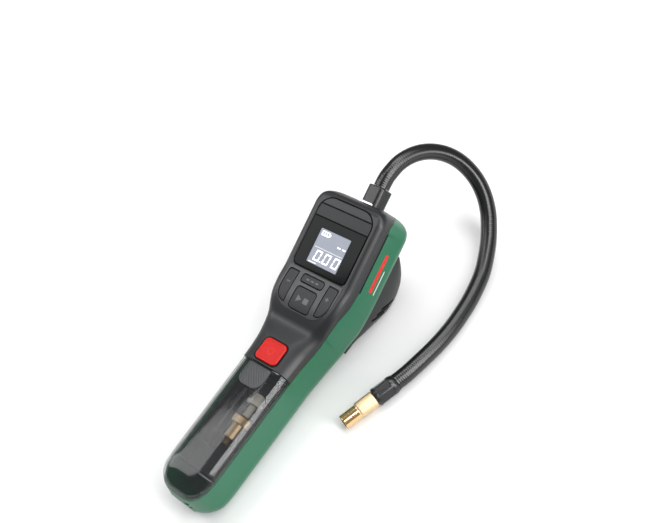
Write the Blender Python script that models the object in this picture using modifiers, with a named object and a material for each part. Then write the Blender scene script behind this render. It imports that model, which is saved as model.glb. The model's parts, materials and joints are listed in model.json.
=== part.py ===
"""Battery tyre inflator with a gauge, lying on its back on the floor.

The tool is drawn straight, in tool coordinates: x to its right, s along it towards the head's top,
r out of its front. The head's face is r = 0. The handle is then bent forward about a line in front
of the neck. Sizes are in millimetres and MM turns them into Blender's metres.
"""

import math

import bmesh
import bpy
from mathutils import Matrix, Vector

MM = 0.001

# Overall sizes
HEAD_WIDTH = 54.0
HANDLE_WIDTH = 37.0
HEAD_DEPTH = 40.0
HANDLE_DEPTH = 41.1
HEAD_TOP = 36.0
HANDLE_LENGTH = 105.0
BEND_START = -45.0
BEND_RADIUS = 58.0
BEND_ANGLE = math.radians(19.7)
WALL = 2.0
FIT = 0.3
BACK_CORNER = 12.0
FLAT_CUT = 0.4
HEAD = HEAD_WIDTH / 2
HAND = HANDLE_WIDTH / 2

# Where the pieces meet, along s and r
HANDLE_FRONT = 3.1
BACK = -HEAD_DEPTH
HAND_BACK = HANDLE_FRONT - HANDLE_DEPTH
HANDLE_START = BEND_START - BEND_RADIUS * BEND_ANGLE
TAIL_END = HANDLE_START - HANDLE_LENGTH
COVER_TOP = HANDLE_START - 14.6
HEAD_SPLIT = -9.0
HANDLE_SPLIT = -6.4
HOUSING_SPLIT = BACK + 5.0
HOUSING_TOP = 16.0
HOUSING_END = -50.0
HOUSING_INSET = 2.5
HOUSING_CORNER = 3.2

# Hose, gland and connector
HOSE_DIAMETER = 10.5
HOSE_SQUARE_RUN = 4.0
AIR_BORE = 4.6
GLAND_WIDTH = 12.8
GLAND_CORNER = 3.5
GLAND_TOP = 49.0
OUTLET_DEPTH = -22.0
FERRULE_DIAMETER = 12.0
FERRULE_LENGTH = 15.6
NUT_DIAMETER = 10.4
NUT_GRIP = 12.4
MOUTH_DIAMETER = 9.3
MOUTH_LENGTH = 11.4
VALVE_BORE = 8.0
STEM_DIAMETER = 4.6
NUT_LIP = 2.0
CONNECTOR_START = (57.9, 21.7, 6.4)
CONNECTOR_HEADING = math.radians(-17.4)

# Screws and the posts that take them, at x and s
SCREW_HEAD = 5.2
SCREW_SINK = 6.5
SCREW_SHANK = 2.6
SCREW_LENGTH = 12.0
POST_RADIUS = 3.0
HEAD_POST_X = HEAD - 8.5
HAND_POST_X = HAND - 5.5
POSTS = [(HEAD_POST_X, 26.0), (-HEAD_POST_X, 26.0),
         (HAND_POST_X, HANDLE_START - 5.0), (-HAND_POST_X, HANDLE_START - 5.0)]

LED_WIDTH = 10.6
LED_HEIGHT = 2.6
LED_DEPTH = -12.6

# Face, keys and power button
FACE_RECESS = 1.2
WINDOW_HALF_WIDTH = 21.0
LENS_TOP = 17.2
LENS_BOTTOM = -15.6
PANEL_TOP = 31.0
LCD_SIZE = 28.0
KEY_PROUD = 0.5
KEY_GAP = 0.35
KEY_SEAT = -2.0
KEY_FLANGE = 0.9
START_KEY = (0.0, -33.4, 15.3, 14.0)
UNIT_KEY = (0.0, -20.9, 16.5, 5.0)
SIDE_KEY_IN = 12.4
SIDE_KEY_OUT = 19.4
SIDE_KEY_TOP = -18.8
SIDE_KEY_END = -38.6
POWER_TRAVEL = 1.0
POWER_FLANGE = 1.1
POST_CLEARANCE = 0.4
POWER_KEY = (0.0, HANDLE_START - 5.5, 2 * (HAND_POST_X - POST_RADIUS - POST_CLEARANCE - POWER_FLANGE), 15.0)

# Board and switches
BOARD_FACE = -7.3
BOARD_THICK = 1.4
BOARD_HALF_WIDTH = 21.5
SWITCH_HEIGHT = 3.2
SWITCH_SIZE = 4.5

# Compressor
MOTOR_DIAMETER = 24.4
MOTOR_LENGTH = 24.0
MOTOR_WALL = 1.0
MOTOR_S = -8.0
MOTOR_SHAFT = 2.3
MOTOR_OPENING = 3.2
MOTOR_ROOM = 8.8
GEAR_MODULE = 0.7
PINION_TEETH = 10
GEAR_TEETH = 40
GEAR_THICK = 4.0
CRANK_OFFSET = 2.5
CRANK_PIN = 3.0
ROD_THICK = 4.6
ROD_WALL = 1.75
PISTON_BORE = 14.0
PISTON_LENGTH = 3.6
CYLINDER_WALL = 2.0
CYLINDER_RADIUS = PISTON_BORE / 2 + CYLINDER_WALL
PISTON_AXIS = BOARD_FACE - BOARD_THICK - 1.3 - CYLINDER_RADIUS
GEAR_FRONT = PISTON_AXIS - CYLINDER_RADIUS - 0.7
LUG_HALF_WIDTH = CYLINDER_RADIUS + 5.0
CYLINDER_START = 17.5
CYLINDER_LENGTH = 9.5
HEAD_PLATE = 3.0
BRACKET_THICK = 1.6
BRACKET_HALF_WIDTH = LUG_HALF_WIDTH + 1.0
BRACKET_CLEARANCE = 0.24
BRACKET_FRONT = GEAR_FRONT - GEAR_THICK - 0.6
BRACKET_BACK = BRACKET_FRONT - BRACKET_THICK
MOTOR_FRONT = BRACKET_BACK - FIT
MOTOR_BACK = MOTOR_FRONT - MOTOR_LENGTH
MOTOR_DEPTH = MOTOR_ROOM - MOTOR_BACK
GEAR_SHAFT = 4.0
STEM_RADIUS = 3.0

# Battery and storage
CELL_DIAMETER = 18.3
CELL_LENGTH = 65.0
CELL_TOP = HANDLE_START - 20.0
CELL_DEPTH = -26.4
TRAY_FLOOR = -15.6
TRAY_WALL = 1.3
COVER_WALL = 1.6
CONE_TOP = HANDLE_START - 29.0
ADAPTER_RADIUS = 6.1
NEEDLE_RADIUS = 3.4

# The charging flap: s and r of its middle, its length and height
FLAP = (2.0, -19.0, 15.0, 9.0)
FLAP_THICK = 1.2

ROUND_SIDES = 20


# ------------------------------------------------------------------ materials and collections

def material(name, colour, roughness, metallic=0.0, alpha=1.0):
    made = bpy.data.materials.new(name)
    made.use_nodes = True
    shader = made.node_tree.nodes["Principled BSDF"]
    shader.inputs["Base Color"].default_value = (*colour, 1.0)
    shader.inputs["Roughness"].default_value = roughness
    shader.inputs["Metallic"].default_value = metallic
    shader.inputs["Alpha"].default_value = alpha
    return made


for old in list(bpy.data.objects):
    bpy.data.objects.remove(old)
TOOL = bpy.data.collections.new("tyre_inflator")
bpy.context.scene.collection.children.link(TOOL)

GREEN = material("green_shell", (0.045, 0.21, 0.115), 0.45)
BLACK = material("black_shell", (0.045, 0.048, 0.05), 0.5)
GREY = material("grey_key", (0.09, 0.095, 0.1), 0.5)
RED = material("red_button", (0.78, 0.05, 0.03), 0.4)
LENS = material("display_lens", (0.012, 0.014, 0.014), 0.08)
LCD = material("lcd", (0.3, 0.33, 0.37), 0.3)
SMOKE = material("smoke_cover", (0.05, 0.055, 0.06), 0.12, alpha=0.45)
CLEAR = material("light_lens", (0.9, 0.92, 0.95), 0.2)
BRASS = material("brass", (0.85, 0.66, 0.36), 0.25, 1.0)
STEEL = material("steel", (0.55, 0.56, 0.58), 0.35, 1.0)
COPPER = material("copper", (0.6, 0.28, 0.13), 0.35, 1.0)
BOARD = material("board", (0.02, 0.13, 0.06), 0.5)
WHITE = material("white_plastic", (0.75, 0.74, 0.68), 0.45)
RUBBER = material("rubber", (0.02, 0.02, 0.021), 0.75)
HOSE = material("hose", (0.012, 0.012, 0.013), 0.3)
CELL = material("cell_wrap", (0.05, 0.16, 0.4), 0.4)


# ------------------------------------------------------------------ frames

def empty(name, parent=None, location=(0, 0, 0), tilt=0.0):
    made = bpy.data.objects.new(name, None)
    TOOL.objects.link(made)
    made.parent = parent
    made.location = Vector(location)
    made.rotation_euler = (tilt, 0, 0)
    return made


def bend(x, s, r):
    """The head-frame point of tool coordinates: straight head, round neck, straight handle."""
    reach = BEND_RADIUS - r
    angle = min(max((BEND_START - s) / BEND_RADIUS, 0.0), BEND_ANGLE)
    beyond = max(HANDLE_START - s, 0.0)
    y = max(s, BEND_START) - reach * math.sin(angle) - beyond * math.cos(angle)
    z = BEND_RADIUS - reach * math.cos(angle) + beyond * math.sin(angle)
    return Vector((x, y, z))


# ------------------------------------------------------------------ makers of simple pieces

def add(name, mesh, look, frame=None, at=(0, 0, 0), turn=(0, 0, 0)):
    """A mesh object at tool coordinates of its frame."""
    made = bpy.data.objects.new(name, mesh)
    TOOL.objects.link(made)
    made.parent = frame
    made.location = Vector(at) * MM
    made.rotation_euler = turn
    mesh.materials.clear()
    mesh.materials.append(look)
    mesh.shade_smooth()
    mesh.set_sharp_from_angle(angle=math.radians(35))
    return made


def cleaned(mesh):
    """The mesh with touching points joined and every face pointing out."""
    work = bmesh.new()
    work.from_mesh(mesh)
    bmesh.ops.remove_doubles(work, verts=work.verts, dist=1e-6)
    bmesh.ops.recalc_face_normals(work, faces=work.faces)
    work.to_mesh(mesh)
    work.free()
    return mesh


def settled(obj):
    """The mesh that an object's modifiers or bevel make, in place of the object."""
    bpy.context.view_layer.update()
    graph = bpy.context.evaluated_depsgraph_get()
    mesh = bpy.data.meshes.new_from_object(obj.evaluated_get(graph))
    bpy.data.objects.remove(obj)
    return mesh


FACING = {"r": Matrix.Identity(4), "s": Matrix.Rotation(-math.pi / 2, 4, "X"),
          "x": Matrix.Rotation(math.pi / 2, 4, "Y")}


def turned(profile, facing="r", sides=ROUND_SIDES):
    """A mesh turned from (radius, height) points, which run from the top down the outside."""
    mesh = bpy.data.meshes.new("profile")
    points = [(radius * MM, 0, height * MM) for radius, height in profile]
    closed = profile[0][0] > 0
    count = len(points)
    edges = [(i, (i + 1) % count) for i in range(count if closed else count - 1)]
    mesh.from_pydata(points, edges, [])
    obj = bpy.data.objects.new("profile", mesh)
    TOOL.objects.link(obj)
    screw = obj.modifiers.new("turn", "SCREW")
    screw.steps = screw.render_steps = sides
    screw.use_merge_vertices = True
    screw.merge_threshold = 1e-6
    result = cleaned(settled(obj))
    result.transform(FACING[facing])
    return result


def disc(radius, low, high, facing="r", sides=ROUND_SIDES):
    return turned([(0, high), (radius, high), (radius, low), (0, low)], facing, sides)


def tube(outer, inner, low, high, facing="r", sides=ROUND_SIDES):
    return turned([(outer, high), (outer, low), (inner, low), (inner, high)], facing, sides)


def plate(outlines, low, high):
    """A mesh with the outlines in x and s, from r = low to r = high; outlines inside another are holes."""
    curve = bpy.data.curves.new("outline", "CURVE")
    curve.dimensions = "2D"
    curve.fill_mode = "BOTH"
    curve.extrude = (high - low) / 2 * MM
    for outline in outlines:
        spline = curve.splines.new("POLY")
        spline.points.add(len(outline) - 1)
        for point, (x, s) in zip(spline.points, outline):
            point.co = (x * MM, s * MM, 0, 1)
        spline.use_cyclic_u = True
    obj = bpy.data.objects.new("outline", curve)
    TOOL.objects.link(obj)
    mesh = cleaned(settled(obj))
    mesh.transform(Matrix.Translation((0, 0, (low + high) / 2 * MM)))
    return mesh


def block(low, high):
    """A box between two corners."""
    work = bmesh.new()
    bmesh.ops.create_cube(work, size=1.0)
    for vert in work.verts:
        vert.co = Vector([(a + b) / 2 * MM + c * (b - a) * MM for a, b, c in zip(low, high, vert.co)])
    mesh = bpy.data.meshes.new("block")
    work.to_mesh(mesh)
    work.free()
    return mesh


def rounded(width, height, corner, centre=(0, 0), steps=3):
    """The outline of a rounded rectangle, anticlockwise."""
    points = []
    for quarter, (a, b) in enumerate([(1, 1), (-1, 1), (-1, -1), (1, -1)]):
        for step in range(steps + 1):
            angle = math.pi / 2 * (quarter + step / steps)
            points.append((centre[0] + a * (width / 2 - corner) + corner * math.cos(angle),
                           centre[1] + b * (height / 2 - corner) + corner * math.sin(angle)))
    return points


def loft(rings):
    """A closed mesh through rings of the same count of points, with flat ends."""
    work = bmesh.new()
    rows = [[work.verts.new(Vector(point) * MM) for point in ring] for ring in rings]
    count = len(rows[0])
    for low, high in zip(rows, rows[1:]):
        for i in range(count):
            work.faces.new((low[i], low[(i + 1) % count], high[(i + 1) % count], high[i]))
    work.faces.new(rows[0])
    work.faces.new(rows[-1])
    mesh = bpy.data.meshes.new("loft")
    work.to_mesh(mesh)
    work.free()
    return cleaned(mesh)


def combine(mesh, others, operation="DIFFERENCE"):
    """The mesh cut by, joined with or kept inside each of the others in turn."""
    base = bpy.data.objects.new("base", mesh)
    TOOL.objects.link(base)
    tools = []
    for other in others:
        tool = bpy.data.objects.new("tool", other)
        tool.hide_render = True
        tool.display_type = "WIRE"
        TOOL.objects.link(tool)
        modifier = base.modifiers.new("combine", "BOOLEAN")
        modifier.operation = operation
        modifier.object = tool
        tools.append(tool)
    result = settled(base)
    for tool in tools:
        bpy.data.objects.remove(tool)
    return result


def moved(mesh, x=0.0, s=0.0, r=0.0):
    mesh.transform(Matrix.Translation(Vector((x, s, r)) * MM))
    return mesh


def bent(mesh):
    for vert in mesh.vertices:
        vert.co = bend(*(vert.co / MM)) * MM
    return mesh


# ------------------------------------------------------------------ outer form

# s, half width, front, back, the front corner's width and depth
FORM = [
    (HEAD_TOP, HEAD - 9.6, -8.0, BACK + 6.5, 5.0, 3.0),
    (HEAD_TOP - 1, HEAD - 6.2, -4.4, BACK + 3.6, 5.0, 4.0),
    (HEAD_TOP - 3, HEAD - 3.2, -1.5, BACK + 1.6, 4.5, 4.5),
    (HEAD_TOP - 6, HEAD - 1.1, -0.3, BACK + 0.4, 4.5, 4.8),
    (HEAD_TOP - 11, HEAD, 0.0, BACK, 4.5, 5.0),
    (-16.0, HEAD, 0.0, BACK, 4.5, 5.0),
    (-26.0, HEAD - 0.3, 1.5, BACK, 4.7, 5.0),
    (-36.0, HEAD - 1.2, 2.4, BACK, 5.5, 5.0),
    (-43.0, HEAD - 2.6, 1.7, BACK + 0.5, 7.0, 5.0),
    (-49.0, (HEAD + HAND) / 2 + 0.2, 0.7, BACK + 1.2, 9.0, 5.2),
    (-55.0, HAND + 2.8, 1.9, HAND_BACK - 0.2, 11.0, 5.8),
    (-60.0, HAND + 1.5, 2.9, HAND_BACK, 12.5, 6.2),
    (HANDLE_START, HAND + 0.7, HANDLE_FRONT, HAND_BACK, 13.5, 6.4),
    (HANDLE_START - 11, HAND, HANDLE_FRONT, HAND_BACK, 14.0, 6.5),
    (TAIL_END + 60, HAND - 0.2, HANDLE_FRONT, HAND_BACK, 14.0, 6.5),
    (TAIL_END + 20, HAND - 0.5, HANDLE_FRONT, HAND_BACK, 14.0, 6.5),
    (TAIL_END + 13, HAND - 1.1, HANDLE_FRONT - 0.6, HAND_BACK + 0.4, 13.0, 6.5),
    (TAIL_END + 7, HAND - 3.2, HANDLE_FRONT - 2.6, HAND_BACK + 2.6, 11.0, 6.0),
    (TAIL_END + 3, HAND - 6.6, HANDLE_FRONT - 6.0, HAND_BACK + 6.4, 8.5, 5.0),
    (TAIL_END, HAND - 11.5, HANDLE_FRONT - 13.0, HAND_BACK + 12.0, 5.0, 3.5),
]


def form_at(s):
    """(half width, front, back, corner width, corner depth) of the outer form at s."""
    for high, low in zip(FORM, FORM[1:]):
        if s >= low[0]:
            break
    share = min(max((s - low[0]) / (high[0] - low[0]), 0.0), 1.0)
    return [a + (b - a) * share for a, b in zip(low[1:], high[1:])]


def ring(s, inset=0.0):
    """One cross-section of the outer form, or of a form that lies inset inside it."""
    half, front, back, corner_x, corner_r = form_at(s)
    half, front, back = half - inset, front - inset, back + inset
    corner_x = max(min(corner_x, half) - inset, 0.8)
    corner_r = max(corner_r - inset, 0.8)
    corner_back = max(min(BACK_CORNER, half * 0.8, (front - back) * 0.45) - inset, 0.8)
    side = []
    for step in range(6):
        angle = math.pi / 2 * step / 5
        side.append((half - corner_x + corner_x * math.sin(angle), front - corner_r + corner_r * math.cos(angle)))
    for step in range(5):
        angle = math.pi / 2 * step / 4
        side.append((half - corner_back + corner_back * math.cos(angle),
                     back + corner_back - corner_back * math.sin(angle)))
    return [(x, s, r) for x, r in side] + [(-x, s, r) for x, r in reversed(side)]


def form(inset=0.0, top=HEAD_TOP, end=TAIL_END):
    """The outer form, or the hollow that lies inset inside it."""
    stations = [top - inset] + [row[0] for row in FORM if end + inset < row[0] < top - inset] + [end + inset]
    return loft([ring(s, inset) for s in stations])


def split_prism(offset, side):
    """All that lies above (side 1) or below (side -1) the line where the front meets the rear shell."""
    line = [(HEAD_TOP + 6, OUTLET_DEPTH), (HEAD_TOP, OUTLET_DEPTH), (HEAD_TOP - 3.5, HEAD_SPLIT - 4.5),
            (HEAD_TOP - 8, HEAD_SPLIT - 0.8), (HEAD_TOP - 12, HEAD_SPLIT), (-15.0, HEAD_SPLIT),
            (-26.0, HEAD_SPLIT + 1.4), (-36.0, HANDLE_SPLIT + 2.8), (-43.0, HANDLE_SPLIT + 3.0),
            (-49.0, HANDLE_SPLIT + 2.2), (-55.0, HANDLE_SPLIT + 1.0), (-60.0, HANDLE_SPLIT + 0.2),
            (HANDLE_START, HANDLE_SPLIT), (TAIL_END - 6, HANDLE_SPLIT)]
    far = 90.0 * side
    outline = [(s, r + offset) for s, r in line] + [(TAIL_END - 6, far), (HEAD_TOP + 6, far)]
    return loft([[(x, s, r) for s, r in outline] for x in (-60.0, 60.0)])


def slab(top, end):
    return block((-60, end, -90), (60, top, 60))


# s and depth behind the split of the black housing over the motor, drawn 33 deep and then scaled
HOUSING_LINE = [(HOUSING_TOP, 5.0), (13.5, 12.5), (10.0, 20.0), (6.0, 26.0), (0.0, 31.0), (-8.0, 33.0),
                (-16.0, 31.0), (-23.0, 25.5), (-30.0, 19.0), (-37.0, 12.0), (-43.0, 7.2), (HOUSING_END, 4.0)]
HOUSING = [(s, depth * (MOTOR_DEPTH + HOUSING_SPLIT) / 33.0) for s, depth in HOUSING_LINE]


def housing_ring(s, depth, inset, lip):
    half = form_at(s)[0] - HOUSING_INSET - inset
    depth -= inset
    points = [(half, s, HOUSING_SPLIT + lip)]
    for step in range(9):
        angle = math.pi / 2 * step / 8
        points.append((half * math.cos(angle) ** (2 / HOUSING_CORNER), s,
                       HOUSING_SPLIT - FIT - depth * math.sin(angle) ** (2 / HOUSING_CORNER)))
    return points + [(-x, s, r) for x, s, r in reversed(points[:-1])]


def housing_form(inset=0.0, lip=-FIT / 2):
    rings = []
    for i, (s, depth) in enumerate(HOUSING):
        if i == 0:
            s -= FIT + inset
        if i == len(HOUSING) - 1:
            s += FIT + inset
        rings.append(housing_ring(s, depth, inset, lip))
    return loft(rings)


# Rest on the floor: the line under the motor housing and the tail
FOOT_HEAD = bend(0, HOUSING[5][0], HOUSING_SPLIT - FIT - HOUSING[5][1])
FOOT_TAIL = bend(0, TAIL_END + 13, HAND_BACK + 0.4)
REST_TILT = math.atan2(FOOT_TAIL.z - FOOT_HEAD.z, FOOT_HEAD.y - FOOT_TAIL.y)
ROOT = empty("tool")
HEAD_FRAME = empty("head_frame", ROOT, tilt=REST_TILT)
HANDLE_FRAME = empty("handle_frame", HEAD_FRAME, bend(0, HANDLE_START, 0) * MM, -BEND_ANGLE)
HANDLE_FRAME.location = (bend(0, HANDLE_START, 0) * MM
                         - Matrix.Rotation(-BEND_ANGLE, 3, "X") @ Vector((0, HANDLE_START, 0)) * MM)


def above_floor():
    """A thick slab under the rest line, which leaves the feet flat."""
    lift = FOOT_HEAD.y * math.sin(REST_TILT) + FOOT_HEAD.z * math.cos(REST_TILT) + FLAT_CUT
    mesh = block((-80, -300, lift - 40), (80, 200, lift))
    mesh.transform(Matrix.Rotation(-REST_TILT, 4, "X"))
    return mesh


# ------------------------------------------------------------------ openings in the shells

def front_at(s):
    return form_at(s)[1]


def side_key_outline(side, grow=0.0):
    """A tall key whose outer end is round at the bottom corner."""
    low_x, high_x = SIDE_KEY_IN - grow, SIDE_KEY_OUT + grow
    top, end = SIDE_KEY_TOP + grow, SIDE_KEY_END - grow
    reach = high_x - low_x
    points = [(low_x, top), (low_x, end)]
    for step in range(6):
        angle = math.pi / 2 * step / 5
        points.append((low_x + 1.2 + (reach - 1.2) * math.sin(angle), end + 9.0 - 9.0 * math.cos(angle)))
    points += [(high_x, top - 1.5), (high_x - 1.5, top)]
    return [(side * x, s) for x, s in points][::-side]


def box_key_outline(key, corner, grow=0.0):
    x, s, width, height = key
    return rounded(width + 2 * grow, height + 2 * grow, corner + grow, (x, s))


KEYS = {
    "unit_button": box_key_outline(UNIT_KEY, 1.4),
    "start_stop_button": box_key_outline(START_KEY, 2.0),
    "minus_button": side_key_outline(-1),
    "plus_button": side_key_outline(1),
}
KEY_HOLES = [box_key_outline(UNIT_KEY, 1.4, KEY_GAP), box_key_outline(START_KEY, 2.0, KEY_GAP),
             side_key_outline(-1, KEY_GAP), side_key_outline(1, KEY_GAP)]
FACE_OUTLINE = rounded(2 * WINDOW_HALF_WIDTH, PANEL_TOP - LENS_BOTTOM, 6.0, (0, (PANEL_TOP + LENS_BOTTOM) / 2), 5)


def along_s(outlines, low, high):
    """A plate whose outline is in x and r and whose thickness runs along s."""
    mesh = plate(outlines, -high, -low)
    mesh.transform(Matrix.Rotation(math.pi / 2, 4, "X"))
    return mesh


def gland_hole(grow=0.0):
    width = GLAND_WIDTH + 2 * grow
    return along_s([rounded(width, width, GLAND_CORNER + grow, (0, OUTLET_DEPTH))], HEAD_TOP - 10, HEAD_TOP + 20)


def led_hole():
    outline = rounded(LED_WIDTH + 2 * FIT, LED_HEIGHT + 2 * FIT, 1.5, (0, LED_DEPTH))
    return along_s([outline], HEAD_TOP - 8, HEAD_TOP + 8)


def screw_depth(s):
    """r of a screw's head seat in the back of the rear shell."""
    return form_at(s)[2] + SCREW_SINK


def post(x, s, top):
    """A screw post that hangs from the front shell to just over the rear shell's boss."""
    mesh = moved(disc(POST_RADIUS, screw_depth(s) + 6.0, top + 4.0, sides=16), x, s)
    return combine(mesh, [form(WALL / 2)], "INTERSECT")


def boss(x, s):
    """A short boss in the rear shell around the screw's head."""
    mesh = moved(disc(POST_RADIUS + 1.8, form_at(s)[2] - 1.0, screw_depth(s) + 3.4, sides=16), x, s)
    return combine(mesh, [form(WALL / 2)], "INTERSECT")


# ------------------------------------------------------------------ shells

def make_front_shell():
    mesh = combine(form(), [form(WALL)])
    mesh = combine(mesh, [split_prism(FIT / 2, -1), slab(COVER_TOP, TAIL_END - 10)])
    mesh = combine(mesh, [post(x, s, front_at(s)) for x, s in POSTS], "UNION")
    cutters = [plate([FACE_OUTLINE], -FACE_RECESS, 9.0),
               plate([rounded(LCD_SIZE + 2, LCD_SIZE + 2, 1.5, (0, 0.8))], -9.0, 9.0),
               gland_hole(FIT), led_hole()]
    cutters += [plate([outline], -9.0, 9.0) for outline in KEY_HOLES]
    cutters += [moved(disc(SCREW_SHANK / 2 + FIT, -60, screw_depth(s) + 15.0, sides=12), x, s) for x, s in POSTS]
    cutters.append(plate([box_key_outline(POWER_KEY, 3.2, KEY_GAP)], -9.0, 9.0))
    return bent(combine(mesh, cutters))


def make_rear_shell():
    mesh = combine(form(), [form(WALL)])
    opening = block((-60, HOUSING_END, -90), (60, HOUSING_TOP, HOUSING_SPLIT + FIT / 2))
    mesh = combine(mesh, [split_prism(-FIT / 2, 1), opening])
    mesh = combine(mesh, [boss(x, s) for x, s in POSTS], "UNION")
    flap_s, flap_r, flap_length, flap_height = FLAP
    cutters = [moved(disc(SCREW_SHANK / 2 + FIT, -60, 0, sides=12), x, s) for x, s in POSTS]
    cutters += [moved(disc(SCREW_HEAD / 2 + FIT, -60, screw_depth(s), sides=16), x, s) for x, s in POSTS]
    cutters.append(gland_hole(FIT))
    cutters.append(block((-HEAD - 3, flap_s - flap_length / 2, flap_r - flap_height / 2),
                         (-HEAD + 1.1, flap_s + flap_length / 2, flap_r + flap_height / 2)))
    cutters.append(block((-HEAD - 3, flap_s - 5.2, flap_r - 2.1), (-HEAD + 5, flap_s + 5.2, flap_r + 2.1)))
    for r in (HANDLE_SPLIT - 5.0, HANDLE_SPLIT - 9.6):
        cutters.append(block((-7.0, TAIL_END - 5, r - 0.8), (7.0, TAIL_END + 9.0, r + 0.8)))
    return combine(bent(combine(mesh, cutters)), [above_floor()])


def make_rear_housing():
    mesh = combine(housing_form(), [housing_form(WALL, 3.0)])
    bracket_room = block((-BRACKET_HALF_WIDTH - FIT, HOUSING_TOP - 2 * WALL, BRACKET_BACK - BRACKET_CLEARANCE),
                         (BRACKET_HALF_WIDTH + FIT, HOUSING_TOP + 1, HOUSING_SPLIT + 20))
    slots = [bracket_room]
    for side in (-1, 1):
        for i in range(3):
            slot = block((-8, -6.5, -0.8), (8, 6.5, 0.8))
            slot.transform(Matrix.Rotation(math.radians(-50), 4, "X"))
            slots.append(moved(slot, side * HEAD, -14.0 - 4.6 * i, -50.5 + 2.0 * i))
    return combine(bent(combine(mesh, slots)), [above_floor()])


def make_cover():
    mesh = combine(form(), [form(COVER_WALL)])
    mesh = combine(mesh, [split_prism(FIT / 2, -1), slab(HEAD_TOP + 20, COVER_TOP - FIT)])
    pad = plate([rounded(16.0, 15.0, 3.0, (0, COVER_TOP - 10.0), 4)], HANDLE_FRONT - 1.0, HANDLE_FRONT + 0.4)
    return combine(mesh, [pad], "UNION")


def under_line(line):
    """All that lies below a line of (s, r) points."""
    outline = line + [(line[-1][0], -90.0), (line[0][0], -90.0)]
    return loft([[(x, s, r) for s, r in outline] for x in (-60.0, 60.0)])


def under_front(offset):
    """All that lies under the head's front face moved out by offset."""
    stations = [row[0] for row in FORM if HANDLE_START < row[0] < HEAD_TOP - 3]
    return under_line([(s, front_at(s) + offset) for s in stations])


# ------------------------------------------------------------------ face, keys and their switches

def make_face_plate(low_s, high_s, low, high):
    inner = rounded(2 * (WINDOW_HALF_WIDTH - FIT), PANEL_TOP - LENS_BOTTOM - 2 * FIT, 6.0 - FIT,
                    (0, (PANEL_TOP + LENS_BOTTOM) / 2), 5)
    return combine(plate([inner], low, high), [block((-60, low_s, -9), (60, high_s, 9))], "INTERSECT")


def make_key(outline, flange_outline):
    cap = combine(plate([outline], KEY_SEAT - 0.5, 6.0), [under_front(KEY_PROUD)], "INTERSECT")
    return combine(cap, [plate([flange_outline], KEY_SEAT - 1.0, KEY_SEAT)], "UNION")


KEY_FLANGES = [box_key_outline(UNIT_KEY, 1.4, KEY_FLANGE), box_key_outline(START_KEY, 2.0, KEY_FLANGE),
               side_key_outline(-1, KEY_FLANGE), side_key_outline(1, KEY_FLANGE)]


def make_switch(top, x, s):
    """A tact switch: a square base with a round plunger."""
    half = SWITCH_SIZE / 2
    base = block((x - half, s - half, top - SWITCH_HEIGHT), (x + half, s + half, top - 1.2))
    return combine(base, [moved(disc(1.2, top - 1.5, top, sides=12), x, s)], "UNION")


add("front_shell", make_front_shell(), BLACK, HEAD_FRAME)
add("rear_shell", make_rear_shell(), GREEN, HEAD_FRAME)
add("rear_housing", make_rear_housing(), BLACK, HEAD_FRAME)
add("storage_cover", make_cover(), SMOKE, HANDLE_FRAME)
add("face_panel", make_face_plate(LENS_TOP + FIT, PANEL_TOP, FIT - FACE_RECESS, 0.2), GREY, HEAD_FRAME)
add("display_lens", make_face_plate(LENS_BOTTOM, LENS_TOP, FIT - FACE_RECESS, 0.0), LENS, HEAD_FRAME)
add("lcd_module", plate([rounded(LCD_SIZE, LCD_SIZE, 1.0, (0, 0.8))], -4.6, -1.3), LCD, HEAD_FRAME)
for (name, outline), flange_outline in zip(KEYS.items(), KEY_FLANGES):
    add(name, make_key(outline, flange_outline), GREY, HEAD_FRAME)
switch_top = BOARD_FACE + FIT + SWITCH_HEIGHT
SIDE_KEY_X = (SIDE_KEY_IN + SIDE_KEY_OUT) / 2
SIDE_KEY_S = (SIDE_KEY_TOP + SIDE_KEY_END) / 2
for name, x, s in [("unit_switch", 0, UNIT_KEY[1]), ("start_stop_switch", 0, START_KEY[1]),
                   ("minus_switch", -SIDE_KEY_X, SIDE_KEY_S), ("plus_switch", SIDE_KEY_X, SIDE_KEY_S)]:
    add(name, make_switch(switch_top, x, s), STEEL, HEAD_FRAME)
main_board = plate([rounded(2 * BOARD_HALF_WIDTH, 60.0, 3.0, (0, -11.0))], BOARD_FACE - BOARD_THICK, BOARD_FACE)
add("main_board", main_board, BOARD, HEAD_FRAME)
sensor_top = BOARD_FACE - BOARD_THICK - FIT
add("pressure_sensor", block((-17, -31, sensor_top - 3.4), (-11, -25, sensor_top)), RUBBER, HEAD_FRAME)

# The red power button on the neck, with its switch on a small board of its own
power_cap = plate([box_key_outline(POWER_KEY, 3.2)], -0.2, HANDLE_FRONT + 0.6)
power_flange = plate([box_key_outline(POWER_KEY, 3.2, POWER_FLANGE)], -0.6, 0.4)
add("power_button", combine(power_cap, [power_flange], "UNION"), RED, HANDLE_FRAME)
power_switch_top = -0.6 - POWER_TRAVEL - FIT
add("power_switch", make_switch(power_switch_top, 0, POWER_KEY[1]), STEEL, HANDLE_FRAME)
power_board_face = power_switch_top - SWITCH_HEIGHT - FIT
power_board_width = 2 * (HAND_POST_X - POST_RADIUS - 0.5)
power_board = plate([rounded(power_board_width, 15.0, 1.0, (0, POWER_KEY[1]))],
                    power_board_face - 1.2, power_board_face)
add("power_board", power_board, BOARD, HANDLE_FRAME)


# ------------------------------------------------------------------ compressor

def gear_outline(teeth, centre, phase):
    """The outline of a spur gear with straight-sided teeth; phase turns it by that share of a tooth."""
    radius = teeth * GEAR_MODULE / 2
    root, tip = radius - 1.15 * GEAR_MODULE, radius + 0.75 * GEAR_MODULE
    pitch = 2 * math.pi / teeth
    points = []
    for tooth in range(teeth):
        middle = (tooth + phase) * pitch
        for reach, share in [(root, -0.34), (tip, -0.12), (tip, 0.12), (root, 0.34)]:
            angle = middle + share * pitch
            points.append((centre[0] + reach * math.sin(angle), centre[1] + reach * math.cos(angle)))
    return points


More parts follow.
